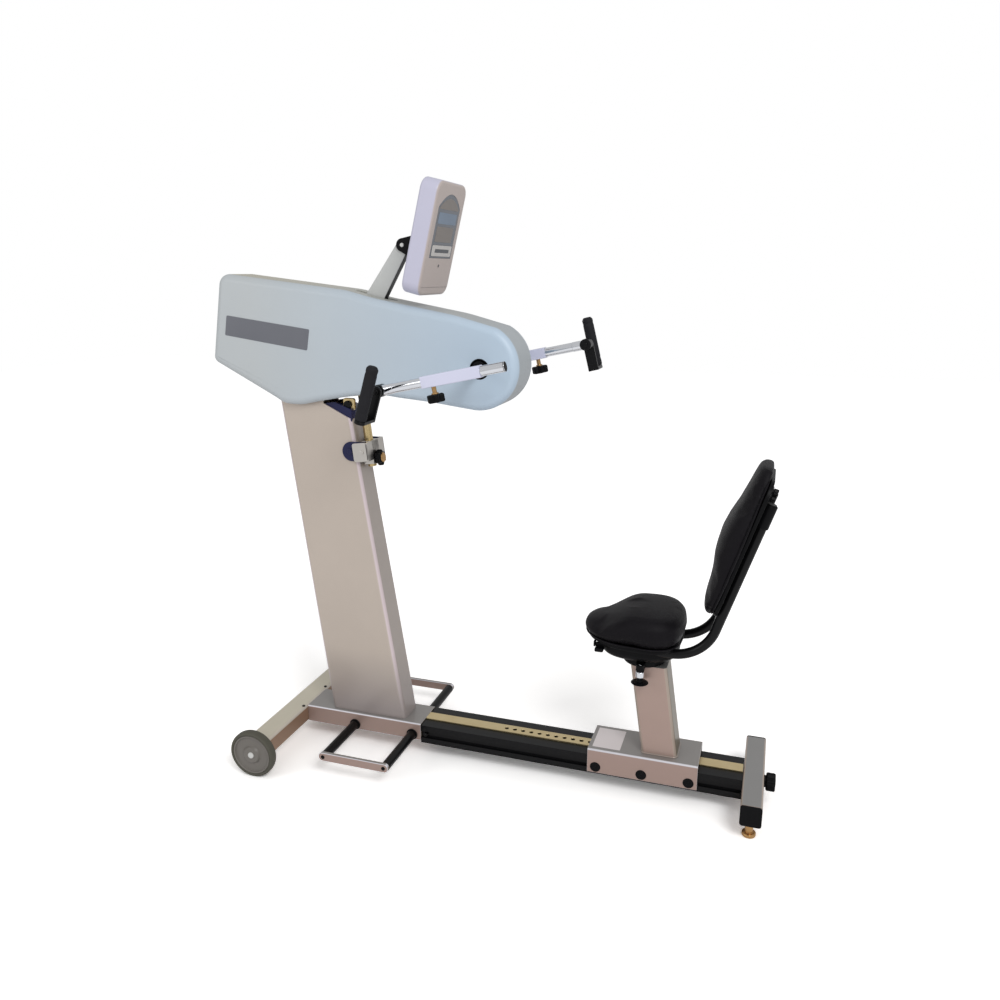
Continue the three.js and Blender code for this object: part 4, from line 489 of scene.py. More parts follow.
def rectangle(x, y):
    """The corners between two pairs of limits."""
    return [(x[0], y[0]), (x[1], y[0]), (x[1], y[1]), (x[0], y[1])]


def inset(outline, distance):
    """The closed outline moved inwards by distance along the mean normal of each point."""
    ahead = np.roll(outline, -1, 0) - outline
    area = np.sum(outline[:, 0] * np.roll(outline[:, 1], -1) - np.roll(outline[:, 0], -1) * outline[:, 1])
    normal = np.sign(area) * np.column_stack((-ahead[:, 1], ahead[:, 0]))
    normal /= np.maximum(np.linalg.norm(normal, axis=1, keepdims=True), 1e-9)
    behind = np.roll(normal, 1, 0)
    share = 1 + np.sum(normal * behind, axis=1, keepdims=True)
    return outline + distance * (normal + behind) / np.maximum(share, 0.2)


print("a square with soft corners has", len(eased(rectangle((0, 9), (0, 9)), 2)), "points")

# %% Slabs, boxes, turned forms and tubes
AXES = {"z": (0, 1, 2), "x": (2, 0, 1), "y": (0, 2, 1)}


def slab(outline, low, high, edge=1.0, axis="y", steps=4):
    """The outline pushed from low to high. Each rim is a quarter circle; edge may be a pair of radii."""
    outline = np.asarray(outline, float)
    edges = edge if isinstance(edge, tuple) else (edge, edge)
    quarter = np.radians(np.linspace(0, 90, steps + 1))
    levels = [(low + edges[0] * (1 - math.cos(q)), edges[0] * (1 - math.sin(q))) for q in quarter]
    levels += [(high - edges[1] * (1 - math.cos(q)), edges[1] * (1 - math.sin(q))) for q in quarter[::-1]]
    rings = [np.column_stack((inset(outline, d), np.full(len(outline), z))) for z, d in levels]
    return skin(np.array(rings)[..., AXES[axis]])


def box(x, y, z, edge=1.0, corner=None, axis="z", steps=3):
    """A block between pairs of limits: corner rounds its edges along the axis, and edge its two rims."""
    first, second, (low, high) = {"z": (x, y, z), "x": (y, z, x), "y": (x, z, y)}[axis]
    outline = eased(rectangle(first, second), edge if corner is None else corner, steps)
    return slab(outline, low, high, edge, axis, steps)


def turned(profile, at=(0, 0, 0), axis="z", around=48, looped=False):
    """The profile's (radius, height) points carried round the axis through a point."""
    radius, height = np.asarray(profile, float).T
    angle = np.linspace(0, 2 * np.pi, around, endpoint=False)
    heights = np.repeat(height[:, None], around, 1)
    rings = np.stack((radius[:, None] * np.cos(angle), radius[:, None] * np.sin(angle), heights), -1)
    return skin(rings[..., AXES[axis]] + np.asarray(at, float), looped)


def lathed(profile, easing, at=(0, 0, 0), axis="z", around=48, looped=False, steps=3):
    """The profile with eased corners carried round the axis: a bar where it is open, a ring where looped."""
    return turned(eased(profile, easing, steps, closed=looped), at, axis, around, looped)


def drum(radius, low, high, edge=1.0, at=(0, 0, 0), axis="z", around=40):
    """A round bar from low to high with eased rims."""
    return lathed([(0.4, low), (radius, low), (radius, high), (0.4, high)], edge, at, axis, around)


def tube(path, radius, around=24):
    """A round tube along points in an upright plane, each ring square to the path."""
    path = np.asarray(path, float)
    heading = np.gradient(path, axis=0)
    heading /= np.linalg.norm(heading, axis=1, keepdims=True)
    up = np.cross((0, 1, 0), heading)
    angle = np.linspace(0, 2 * np.pi, around, endpoint=False)[:, None, None]
    rings = path + radius * (np.cos(angle) * np.array((0, 1, 0)) + np.sin(angle) * up)
    return skin(rings.transpose(1, 0, 2))


LOBES, LOBE_DEPTH, KNOB_POINTS, BOSS_SHARE = 6, 2.4, 96, 0.42


def lobed_knob(radius, length, edge=3.5):
    """A grip knob along +Z whose radius waves by depth * cos(lobes * angle), and a boss on its face."""
    angle = np.linspace(0, 2 * np.pi, KNOB_POINTS, endpoint=False)
    reach = radius - LOBE_DEPTH + LOBE_DEPTH * np.cos(LOBES * angle)
    grip = slab(np.column_stack((reach * np.cos(angle), reach * np.sin(angle))), 0, length, edge, "z", 6)
    return grip, drum(radius * BOSS_SHARE, length - 1, length + 0.6, 0.8)


def lying(form, place):
    """The form carried into a place, a four by four matrix."""
    points, faces = form
    return points @ place[:3, :3].T + place[:3, 3], faces


def place_at(x, y, z, pitch=0.0):
    """The place of a piece whose own axes are turned by pitch degrees about Y and then moved."""
    c, s = math.cos(math.radians(pitch)), math.sin(math.radians(pitch))
    return np.array(((c, 0, s, x), (0, 1, 0, y), (-s, 0, c, z), (0, 0, 0, 1.0)))


FACING_X = np.array(((0, 0, 1, 0), (0, 1, 0, 0), (-1, 0, 0, 0), (0, 0, 0, 1.0)))
FACING_DOWN = np.diag((1.0, -1.0, -1.0, 1.0))
print("a knob has", len(lobed_knob(20, 18)[0][0]), "points")

# %% From forms to a finished piece
def mesh_of(name, forms, scale=MM, origin=WHEEL_END):
    """One mesh from several forms, its faces turned outwards."""
    starts = np.cumsum([0] + [len(points) for points, _ in forms])
    points = (np.concatenate([points for points, _ in forms]) + origin) * scale
    faces = [[corner + start for corner in face] for (_, form), start in zip(forms, starts) for face in form]
    mesh = bpy.data.meshes.new(name)
    mesh.from_pydata(points.tolist(), [], faces)
    shape = bmesh.new()
    shape.from_mesh(mesh)
    bmesh.ops.remove_doubles(shape, verts=shape.verts, dist=1e-6 * scale / MM)
    bmesh.ops.recalc_face_normals(shape, faces=shape.faces)
    shape.to_mesh(mesh)
    shape.free()
    return mesh


def dressed(obj, body, slot_name, finish=None, stands_for=None):
    """Gives a piece its finish, its body and the node that it stands for, if there is one."""
    obj.data.materials.clear()
    obj.data.materials.append(finish or FINISHES[slot_name])
    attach(obj, body)
    if stands_for:
        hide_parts(stands_for)
    return obj


def piece(name, body, slot_name, *forms, at=None, stands_for=None, finish=None, sharp=34):
    """A finished rigid piece, carried to the place at: smooth shading, sharp only past an angle, and big
    faces kept flat."""
    mesh = mesh_of(name, forms if at is None else [lying(form, at) for form in forms])
    mesh.shade_smooth()
    mesh.set_sharp_from_angle(angle=math.radians(sharp))
    obj = bpy.data.objects.new(name, mesh)
    scene.collection.objects.link(obj)
    obj.modifiers.new("even", "WEIGHTED_NORMAL").keep_sharp = True
    return dressed(obj, body, slot_name, finish, stands_for)


def carved(form, *cutters):
    """The form less the cutters: exact booleans, worked out at once so that no modifier is left."""
    solids = [bpy.data.objects.new("form", mesh_of("form", [f], 1, 0)) for f in (form, *cutters)]
    for solid in solids:
        scene.collection.objects.link(solid)
    for cutter in solids[1:]:
        cut = solids[0].modifiers.new("cut", "BOOLEAN")
        cut.operation, cut.solver, cut.object = "DIFFERENCE", "EXACT", cutter
    graph = bpy.context.evaluated_depsgraph_get()
    mesh = bpy.data.meshes.new_from_object(solids[0].evaluated_get(graph))
    points = np.array([vertex.co for vertex in mesh.vertices])
    faces = [list(face.vertices) for face in mesh.polygons]
    for solid in solids:
        bpy.data.meshes.remove(solid.data)
    bpy.data.meshes.remove(mesh)
    return points, faces


SIDES = (("near", -1), ("far", 1))


def spanned(sign, near, far):
    """Limits on one side of the middle plane, the lower one first."""
    return sorted((sign * near, sign * far))


print("pieces are made in", MM, "m per unit")

# %% [markdown]
# ## Base, column and wheels
# The base is a box-section tube with a cross tube welded to its end and a leaning column on top. Steel
# tube is rolled, so its long edges are round and its cut ends are not. A bevel would round every edge
# alike, so these are slabs with soft corners, whose rims have a radius of their own.

# %% Base box, cross tube and axle
BOX_START, BOX_END, BOX_LOW, BOX_TOP, BOX_HALF = 28.0, 357.0, 43.0, 91.0, 50.0
CROSS_START, CROSS_HALF, AXLE_HALF = -34.0, 240.0, 258.6
SPIGOT_HALF, SPIGOT_LOW, SPIGOT_TOP = 36.0, 45.6, 82.4
WHEEL_PLACE = (-5.5, 0, 60)

spigot = box((BOX_END - 4, BOX_END + 38), (-SPIGOT_HALF, SPIGOT_HALF), (SPIGOT_LOW, SPIGOT_TOP), 1, axis="x")
box_tube = box((BOX_START + 0.3, BOX_END), (-BOX_HALF, BOX_HALF), (BOX_LOW, BOX_TOP), 0.6, 5, "x", 4)
piece("base_tube", "base", "silver_paint", box_tube, spigot, stands_for="base_box")

cross_tube = box((CROSS_START, BOX_START), (-CROSS_HALF, CROSS_HALF), (BOX_LOW, BOX_TOP), 0.6, 9, "y", 6)
axle = drum(8, -AXLE_HALF, AXLE_HALF, 1, WHEEL_PLACE, "y")
cross_forms = (cross_tube, axle)
piece("cross_tube", "base", "silver_paint", *cross_forms, stands_for="wheel_cross_tube", finish=cross_enamel)
plug_x, plug_z = (CROSS_START + 4, BOX_START - 4), (BOX_LOW + 3, BOX_TOP - 3)
tube_ends = [sign * CROSS_HALF for _, sign in SIDES]
tube_plugs = [box(plug_x, (end - 4, end + 1.2), plug_z, 1, 6, "y") for end in tube_ends]
piece("cross_tube_plugs", "base", "black_plastic", *tube_plugs)
print("base box from", BOX_START, "to", BOX_END)

# %% [markdown]
# The column tapers as it rises, so it is a skin between two rectangles with soft corners. It is open at the
# top, where its front shoulder is cut away for the tilting head. A boolean with a smaller column leaves the
# wall, and others cut the shoulder and the way of the pivot bolt.

# %% Leaning column
COLUMN_LEAN, COLUMN_REAR, COLUMN_FOOT, COLUMN_TOP = 6.85, 98.0, 212.0, 190.0
COLUMN_SHOULDER, COLUMN_TONGUE, COLUMN_HALF, COLUMN_WALL, COLUMN_CORNER = 782.0, 138, 38.0, 4.0, 12.0
NOTCH_DEPTH, NOTCH_RISE, NOTCH_FALL, NOTCH_AHEAD, NOTCH_TOP, NOTCH_HALF = 72, 36, 70, 212, 1300, 80
PIVOT, BOLT_WAY = (62.0, 0, 945.0), 8.3


def column_edges(rise):
    """The column's rear and front edges at a height above the base box."""
    rear = COLUMN_REAR - rise * math.tan(math.radians(COLUMN_LEAN))
    return rear, rear + COLUMN_FOOT - rise * (COLUMN_FOOT - COLUMN_TOP) / COLUMN_SHOULDER


def column_skin(low, high, wall):
    """The tapering tube between two heights: a rectangle with soft corners at each."""
    rings = []
    for rise in (low, high):
        rear, front = column_edges(rise)
        half = COLUMN_HALF - wall
        outline = eased(rectangle((rear + wall, front - wall), (-half, half)), COLUMN_CORNER - wall, 7)
        rings.append(np.column_stack((outline, np.full(len(outline), BOX_TOP + rise))))
    return skin(rings)


column_high = COLUMN_SHOULDER + COLUMN_TONGUE
cut_x = column_edges(COLUMN_SHOULDER)[1] - NOTCH_DEPTH
cut_z = BOX_TOP + COLUMN_SHOULDER
notch_corners = [(cut_x + NOTCH_AHEAD, cut_z - NOTCH_FALL), (cut_x + NOTCH_AHEAD, NOTCH_TOP)]
notch_corners += [(cut_x, NOTCH_TOP), (cut_x, cut_z + NOTCH_RISE)]
column_form = carved(
    column_skin(0.3, column_high, 0.0),
    column_skin(-3, column_high + 5, COLUMN_WALL),
    slab(notch_corners, -NOTCH_HALF, NOTCH_HALF, 0),
    drum(BOLT_WAY, -NOTCH_HALF, NOTCH_HALF, 0.1, PIVOT, "y"),
)
piece("column_tube", "base", "silver_paint", column_form, stands_for="column", finish=column_enamel)
print("column from", np.round(column_edges(0)), "to", np.round(column_edges(COLUMN_SHOULDER)))

# %% [markdown]
# The transport wheels have a rubber tyre on a moulded grey disc, with a round boss and a domed bolt cap
# painted white: the white is a painted highlight. A torus would give the tyre a round section, but the real
# one is nearly square. So each is one profile carried round the axle. The small bolts that hold the frame
# together are heads only.

# %% Wheels and frame bolts
WHEEL_PLANE, CAP_INSIDE, CAP_OUTSIDE = 244.0, 15, 26
# The white of the wheel's bolt cap stands for the highlight on a shiny domed cap nut: a painted highlight.
white_cap = moulded("white_cap", (0.62, 0.62, 0.60), (0.55, 0.55, 0.53), 0.35)
tyre_profile = [(51.3, 0.6), (56.5, 0), (60, 4.5), (60, 19.5), (56.5, 24), (51.3, 23.4)]
disc_profile = [(8.4, 1), (22, 1), (22, 8), (44, 8), (45, 1.5), (51, 1.5)]
disc_profile += [(51, 22.5), (47, 22.5), (46, 18), (24, 18), (20, 23.8), (8.4, 23.8)]
for side, sign in SIDES:
    tyre_ring, disc_ring = (
        np.column_stack((radius, sign * (WHEEL_PLANE + along)))
        for radius, along in (eased(tyre_profile, 3.2, 5).T, eased(disc_profile, 1.2, 3).T)
    )
    wheel = f"wheel_{side}"
    tyre = turned(tyre_ring, WHEEL_PLACE, "y", 96, looped=True)
    piece(f"wheel_tyre_{side}", wheel, "tyre", tyre, stands_for=f"tyre_{side}")
    disc = turned(disc_ring, WHEEL_PLACE, "y", 80, looped=True)
    piece(f"wheel_hub_{side}", wheel, "grey_plastic", disc, stands_for=f"wheel_disc_{side}")
    cap_ends = spanned(sign, WHEEL_PLANE + CAP_INSIDE, WHEEL_PLANE + CAP_OUTSIDE)
    cap = drum(8, *cap_ends, 2.2, WHEEL_PLACE, "y")
    piece(f"wheel_cap_{side}", wheel, "grey_plastic", cap, finish=white_cap)

side_bolt_place = (370, 0, 64)
bolts = [drum(4.2, BOX_TOP - 1, BOX_TOP + 1.6, 0.8, (20, 58 * sign, 0)) for _, sign in SIDES]
bolts += [drum(5.5, *spanned(sign, 45.0, 52.5), 1, side_bolt_place, "y") for _, sign in reversed(SIDES)]
piece("frame_bolts", "base", "black_paint", *bolts)
print("wheels at", WHEEL_PLACE, "and", len(bolts), "frame bolts")

# %% [markdown]
# ## Foot rests
# Two black rods cross the base box, and a flat bar on each side joins their ends. Dark bolt heads hold the
# bars. A curve with a round bevel would do for a rod, but its ends would be sharp, so a rod is one turned
# profile. The bar is a box with well-rounded edges.

# %% Foot rests
ROD_XS, ROD_HEIGHT, ROD_REACH, ROD_RADIUS = (169.0, 333.0), 59.0, 210.7, 11.5
FOOT_BAR_PAST, FOOT_BAR_Z, FOOT_BOLT_HEIGHT = 12, (50, 72), 61
for x, node in zip(ROD_XS, ("foot_rod_front", "foot_rod_rear")):
    rod_place = (x, 0, ROD_HEIGHT)
    rod = drum(ROD_RADIUS, -ROD_REACH, ROD_REACH, 1, rod_place, "y")
    collars = [drum(15, *spanned(sign, 50.2, 53.5), 1, rod_place, "y") for _, sign in SIDES]
    piece(f"{node}_bar", "base", "black_paint", rod, *collars, stands_for=node)
for side, sign in SIDES:
    bar_x = (ROD_XS[0] - FOOT_BAR_PAST, ROD_XS[1] + FOOT_BAR_PAST)
    foot_bar = box(bar_x, spanned(sign, 211, 221), FOOT_BAR_Z, 2.2, 10.5, "y", 8)
    piece(f"foot_bar_{side}_plate", "base", "silver_paint", foot_bar, stands_for=f"foot_bar_{side}")
    heads = [drum(5, *spanned(sign, 220, 223), 1.6, (x, 0, FOOT_BOLT_HEIGHT), "y") for x in ROD_XS]
    piece(f"foot_bar_bolts_{side}", "base", "black_plastic", *heads)
print("foot rests at", ROD_XS)

# %% [markdown]
# ## Rail, index strip and crossbar
# The rail is a black extrusion with a groove along each side, in which the carriage glides. It is its own
# section pushed along X, as the real one is, with one slot carved under the holes for the index pin.

# %% Rail
RAIL_START, RAIL_END, RAIL_LOW, RAIL_TOP, RAIL_HALF = 357.3, 1157.0, 39.0, 88.0, 50
GROOVE_LOW, GROOVE_HIGH, GROOVE_FLOOR = 54, 72, 42
half_section = [(0, RAIL_TOP), (RAIL_HALF, RAIL_TOP), (RAIL_HALF, GROOVE_HIGH), (GROOVE_FLOOR, GROOVE_HIGH)]
half_section += [(GROOVE_FLOOR, GROOVE_LOW), (RAIL_HALF, GROOVE_LOW), (RAIL_HALF, RAIL_LOW), (0, RAIL_LOW)]
section = np.array(half_section + [(-y, z) for y, z in half_section[-2:0:-1]], float)
pin_slot = box((562, 1041), (-5.4, 5.4), (64, 95), 0.2)
rail_form = carved(slab(eased(section, 0.8, 2), RAIL_START, RAIL_END, 0.5, "x", 2), pin_slot)
piece("rail_profile", "base", "black_paint", rail_form, stands_for="rail")
print("rail from", RAIL_START, "to", RAIL_END)

# %% [markdown]
# A strip with a row of round holes lies on the rail, and a pin drops into one of them to hold the carriage.
# Twenty-two booleans would be slow. Each hole is instead a circle inside a square cell: rings run from the
# cell's edge to the circle and down through it, and the cell repeats along the strip.

# %% Index strip and bumper
HOLE_PITCH, HOLE_COUNT, FIRST_HOLE, HOLE_RADIUS, HOLE_POINTS = 21.6, 22, 575.0, 5.2, 32
STRIP_START, STRIP_END, STRIP_LOW, STRIP_HIGH, STRIP_HALF, STRIP_RIM = 358.0, 1156.0, 88.3, 91.3, 16, 0.5
angles = np.radians(np.arange(0, 360, 360 / HOLE_POINTS))
circle = np.column_stack((np.cos(angles), np.sin(angles)))
reach = 1 / np.maximum(np.abs(np.cos(angles)), np.abs(np.sin(angles)))
cell = np.column_stack((reach * np.cos(angles) * HOLE_PITCH / 2, reach * np.sin(angles) * STRIP_HALF))
levels = (
    (cell, STRIP_LOW), (cell, STRIP_HIGH), (circle * (HOLE_RADIUS + STRIP_RIM), STRIP_HIGH),
    (circle * HOLE_RADIUS, STRIP_HIGH - STRIP_RIM), (circle * HOLE_RADIUS, STRIP_LOW),
)
strip_parts = []
for hole in range(HOLE_COUNT):
    centre = np.array((FIRST_HOLE + hole * HOLE_PITCH, 0))
    rings = [np.column_stack((outline + centre, np.full(len(outline), z))) for outline, z in levels]
    strip_parts.append(skin(rings, looped=True))
holes_start, holes_end = FIRST_HOLE - HOLE_PITCH / 2, FIRST_HOLE + (HOLE_COUNT - 0.5) * HOLE_PITCH
for plain_x in ((STRIP_START, holes_start), (holes_end, STRIP_END)):
    strip_parts.append(box(plain_x, (-STRIP_HALF, STRIP_HALF), (STRIP_LOW, STRIP_HIGH), 0.3))
piece("index_strip", "base", "bright_steel", *strip_parts, stands_for="rail_index_strip", finish=gold_strip)
bumper = box((1099, 1135), (-32, 32), (25.7, 38.7), 3, 5)
piece("bumper_block", "base", "rubber", bumper, stands_for="rail_bumper")
print(HOLE_COUNT, "index holes", HOLE_PITCH, "mm apart")

# %% [markdown]
# The crossbar is a box tube with a black cap on each end. Two turned brass feet screw into it from below,
# and a lobed knob closes the rail's end. The tube is carved hollow, so that the feet's threads have room.

# %% Crossbar, its caps, levelling feet and knob
BAR_START, BAR_END, BAR_LOW, BAR_HIGH, BAR_HALF = 1157.3, 1204.3, 42.0, 92.0, 148.5


def within_bar(margin):
    """The crossbar's limits along X and Z, drawn in by the margin."""
    return (BAR_START + margin, BAR_END - margin), (BAR_LOW + margin, BAR_HIGH - margin)


hollow_x, hollow_z = within_bar(4)
plug_x, plug_z = within_bar(4.5)
FOOT_X, FOOT_Y, BAR_KNOB_HEIGHT, BAR_BORE = BAR_START + 22, 120, 66, 5.4
crossbar = carved(
    box((BAR_START, BAR_END), (-BAR_HALF, BAR_HALF), (BAR_LOW, BAR_HIGH), 0.5, 6, "y", 5),
    box(hollow_x, (-160, 160), hollow_z, 0, 3, "y", 3),
    *[drum(BAR_BORE, 30, 50, 0.1, (FOOT_X, FOOT_Y * sign, 0)) for _, sign in SIDES],
    drum(BAR_BORE, 1150, 1210, 0.1, (0, 0, BAR_KNOB_HEIGHT), "x"),
)
piece("crossbar_tube", "base", "silver_paint", crossbar, stands_for="rear_crossbar", finish=post_enamel)
foot_profile = [(0.4, 0), (14.5, 0), (15.5, 1.5), (15.5, 7.5), (13.5, 9), (9.4, 9.3)]
foot_profile += [(9, 10), (9, 31), (5, 31.5), (5, 66), (0.4, 66)]
for side, sign in SIDES:
    cap_y = spanned(sign, BAR_HALF + 0.3, BAR_HALF + 5)
    cap = box((BAR_START, BAR_END), cap_y, (BAR_LOW, BAR_HIGH), 1.6, 6, "y", 4)
    plug = box(plug_x, spanned(sign, 134, 149), plug_z, 1, 3, "y")
    piece(f"crossbar_end_{side}", "base", "black_plastic", cap, plug, stands_for=f"crossbar_cap_{side}")
    foot = lathed(foot_profile, 0.8, (FOOT_X, FOOT_Y * sign, 0))
    piece(f"foot_{side}", f"levelling_foot_{side}", "brass", foot, stands_for=f"levelling_foot_{side}")
BAR_KNOB = place_at(1208.6, 0, BAR_KNOB_HEIGHT) @ FACING_X
knob_forms = (*lobed_knob(23, 21), drum(14, -4, 1, 0.8), drum(5, -58, 0, 0.5))
piece("crossbar_grip", "crossbar_knob", "black_plastic", *knob_forms, at=BAR_KNOB, stands_for="crossbar_knob")
print("crossbar from", BAR_START, "to", BAR_END)

# %% [markdown]
# ## Carriage
# The carriage is an upturned channel of silver-painted steel that runs along the rail on plastic glides. A
# bent sheet has one wall all round, so the channel is one section pushed along X. Three black plugs on each
# side hold the glides; each is a turned dish. A bare pale label sits on the top.

# %% Carriage, glides and label
CARRIAGE_X, CARRIAGE_LENGTH, CARRIAGE_HALF, CARRIAGE_LOW, CARRIAGE_TOP = 797.0, 260.0, 59.6, 47.7, 109.7
CARRIAGE_INSIDE, CARRIAGE_ROOF, PIN_AHEAD = 54.6, 96.7, 166.8
PLUG_XS, PLUG_HEIGHT = (817.0, 927.0, 1037.0), 63
outer = [(CARRIAGE_HALF, CARRIAGE_LOW), (CARRIAGE_HALF, CARRIAGE_TOP)]
outer += [(-CARRIAGE_HALF, CARRIAGE_TOP), (-CARRIAGE_HALF, CARRIAGE_LOW)]
inner = [(-CARRIAGE_INSIDE, CARRIAGE_LOW), (-CARRIAGE_INSIDE, CARRIAGE_ROOF)]
inner += [(CARRIAGE_INSIDE, CARRIAGE_ROOF), (CARRIAGE_INSIDE, CARRIAGE_LOW)]
channel = eased(np.array(outer + inner, float), np.array([1.2, 6.5, 6.5, 1.2, 1.2, 2, 2, 1.2]), 6)
carriage_form = carved(
    slab(channel, CARRIAGE_X, CARRIAGE_X + CARRIAGE_LENGTH, 0.8, "x", 3),
    *[drum(12.8, -70, 70, 0.1, (x, 0, PLUG_HEIGHT), "y") for x in PLUG_XS],
    drum(4.2, 80, 120, 0.1, (CARRIAGE_X + PIN_AHEAD, 0, 0)),
)
piece("carriage_channel", "carriage", "silver_paint", carriage_form, stands_for="carriage")
dish = [(0.4, 61.6), (3.2, 61.6), (4, 60.4), (8.4, 60.4), (10, 61.4), (12.2, 61.1)]
dish += [(12.5, 60.2), (12.5, 53), (0.4, 53)]
for side, sign in SIDES:
    glide = box((803, 1051), spanned(sign, 42.9, 54.2), (54.8, 71.2), 0.8, 2, "y")
    plugs = [lathed(np.array(dish) * (1, sign), 0.8, (x, 0, PLUG_HEIGHT), "y", 40) for x in PLUG_XS]
    piece(f"carriage_glide_{side}", "carriage", "black_plastic", glide, *plugs, stands_for=f"glide_{side}")
label = box((806, 873), (-46, 44), (109.6, 110.1), 0.2, 2)
piece("carriage_label", "carriage", "grey_plastic", label, finish=label_film)
print("carriage plugs at", PLUG_XS)

# %% [markdown]
# ## Seat post, swivel and plunger
# A leaning box post carries a round flange, and the seat's moulded tray turns on it. The post leans without
# a taper, so two equal rings make its skin, and a low slab at its foot is the weld.

# %% Seat post and its weld
POST_LEAN, POST_HEIGHT, POST_AHEAD, POST_FOOT, SWIVEL_X = 8.6, 224.0, 167, 110, 915.0
post_rings = []
for rise in (0, POST_HEIGHT):
    x = CARRIAGE_X + POST_AHEAD - rise * math.tan(math.radians(POST_LEAN))
    outline = eased(rectangle((x - 42, x + 42), (-39, 39)), 10, 7)
    post_rings.append(np.column_stack((outline, np.full(len(outline), POST_FOOT + rise))))
piece("post_tube", "carriage", "silver_paint", skin(post_rings), stands_for="seat_post", finish=post_enamel)
weld = eased(rectangle((-44, 44), (-41, 41)), 12, 6) + (CARRIAGE_X + POST_AHEAD, 0)
piece("post_weld", "carriage", "silver_paint", slab(weld, 109.6, 112.4, 1.3, "z", 3), finish=post_enamel)
print("post leans", POST_LEAN, "degrees")

# %% [markdown]
# A spring plunger under the flange drops into one of four holes in the tray. Its collar is chromed and its
# pull knob is a disc. All of these are round, so each is one turned profile; only the ear that joins the
# plunger to the flange is a block with a bore.

# %% Flange and plunger
FLANGE_LOW, PLUNGER_REACH = 334.3, 61
PLUNGER = (SWIVEL_X, -PLUNGER_REACH, FLANGE_LOW)
flange_profile = [(0.4, 0), (48, 0), (48, 15.4), (24, 15.4), (24, 8.4), (0.4, 8.4)]
flange = lathed(flange_profile, 1, (SWIVEL_X, 0, FLANGE_LOW), around=72)
ear = box((905, 925), (-61, -40), (334.4, 348.6), 0.8, 2)
ear = carved(ear, drum(4.9, 300, 380, 0.1, (SWIVEL_X, -PLUNGER_REACH, 0)))
housing = lathed([(4.9, -2), (10, -2), (10, 14), (4.9, 14)], 1, PLUNGER, looped=True)
piece("swivel_flange", "carriage", "black_plastic", flange, ear, housing, stands_for="swivel_base")
pull_profile = [(0.4, -34.5), (16, -34), (20, -32), (20, -31), (16, -29), (8, -28.2)]
pull_profile += [(6.5, -26.8), (6.5, -16.5), (0.4, -16.5)]
pull = lathed(pull_profile, 0.9, PLUNGER)
piece("plunger_knob", "swivel_plunger", "black_plastic", pull, stands_for="swivel_plunger")
piece("plunger_pin", "swivel_plunger", "black_plastic", drum(4.4, -17, 14.2, 0.6, PLUNGER), finish=chrome)
collar_profile = [(9.6, -17), (9.6, -4.6), (7, -2), (4.9, -2), (4.9, -7), (6.9, -7), (6.9, -17)]
collar = lathed(collar_profile, 0.5, PLUNGER, looped=True)
piece("plunger_collar", "carriage", "black_plastic", collar, finish=chrome)
print("swivel axis at", SWIVEL_X)

# %% [markdown]
# ## Seat tray, pan and lever
# The seat stands on a moulded black tub with a flat lid under the cushion. A lever between two lugs hangs
# at its near front corner and is lifted to free the swivel. The tub is a skin over squarish rings whose
# corners come from bending a cosine outwards.

# %% Seat tray and pan
SEAT = place_at(SWIVEL_X, 0, 390.6)
TRAY_DEPTH, TRAY_POINTS, PAN_THICKNESS = 40.6, 96, 8.0
SEAT_LENGTH_HALF, SEAT_FRONT_HALF, SEAT_WIDENING, SEAT_MIDDLE = 120, 60, 66, -25


def squared(value, power):
    """A cosine or sine bent outwards, so that its closed curve reaches into a square's corners."""
    return np.sign(value) * np.abs(value) ** power


def seat_edge(inset_by, points=96):
    """The seat's plan: a squared oval whose half width grows from front to rear, its edge drawn in."""
    angle = np.linspace(0, 2 * np.pi, points, endpoint=False)
    half = SEAT_FRONT_HALF + SEAT_WIDENING * np.sqrt((1 + np.cos(angle)) / 2)
    x = (SEAT_LENGTH_HALF - inset_by) * squared(np.cos(angle), 0.72) + SEAT_MIDDLE
    return np.column_stack((x, (half - inset_by) * squared(np.sin(angle), 0.72)))


around_tray = np.linspace(0, 2 * np.pi, TRAY_POINTS, endpoint=False)
tray_outline = np.column_stack((squared(np.cos(around_tray), 0.8), squared(np.sin(around_tray), 0.8)))
tray_shares = [(0.76, 0.68, 0), (0.91, 0.86, 0.15), (0.98, 0.97, 0.4), (1, 1, 1)]
tray_rings = []
for long, wide, up in eased(tray_shares, 0.12, 4, closed=False):
    tray_ring = tray_outline * (92 * long, 74 * wide) - (10, 0)
    tray_rings.append(np.column_stack((tray_ring, np.full(TRAY_POINTS, (up - 1) * TRAY_DEPTH))))
quarters = np.radians((0, 90, 180, 270))
stop_places = [(PLUNGER_REACH * math.cos(angle), PLUNGER_REACH * math.sin(angle), 0) for angle in quarters]
tub = carved(skin(tray_rings), *[drum(5.2, -60, -22, 0.1, place) for place in stop_places])
rim = slab(inset(tray_rings[-1][:, :2], -2.2), -3.2, 0, 1.2, "z", 3)
lid = slab(seat_edge(14), 0, PAN_THICKNESS, 1.8, "z", 4)
stub = drum(22, -47.3, -40, 0.8)
lugs = [box((x - 2, x + 2), (-63.5, -50.5), (-13, 0.5), 0.8, 3, "x") for x in (-107.3, -82.7)]
piece("seat_tray", "seat", "black_plastic", tub, rim, lid, stub, *lugs, at=SEAT, stands_for="seat_pan")
print("tray", TRAY_DEPTH, "mm deep")

# %% Seat lever
LEVER = SEAT @ place_at(-95, -57, -6.5)
paddle = box((-10, 10), (-18, 3), (-14, -5), 2.6, 3.5)
web = box((-10, 10), (-3.3, 3.3), (-7, 3.3), 1.2, 1.5, "x")
lever_pin = drum(3, -14, 14, 0.5, axis="x")
lever_forms = (paddle, web, lever_pin)
piece("swivel_lever", "seat_lever", "black_plastic", *lever_forms, at=LEVER, stands_for="seat_lever")
print("lever at", LEVER[:3, 3])

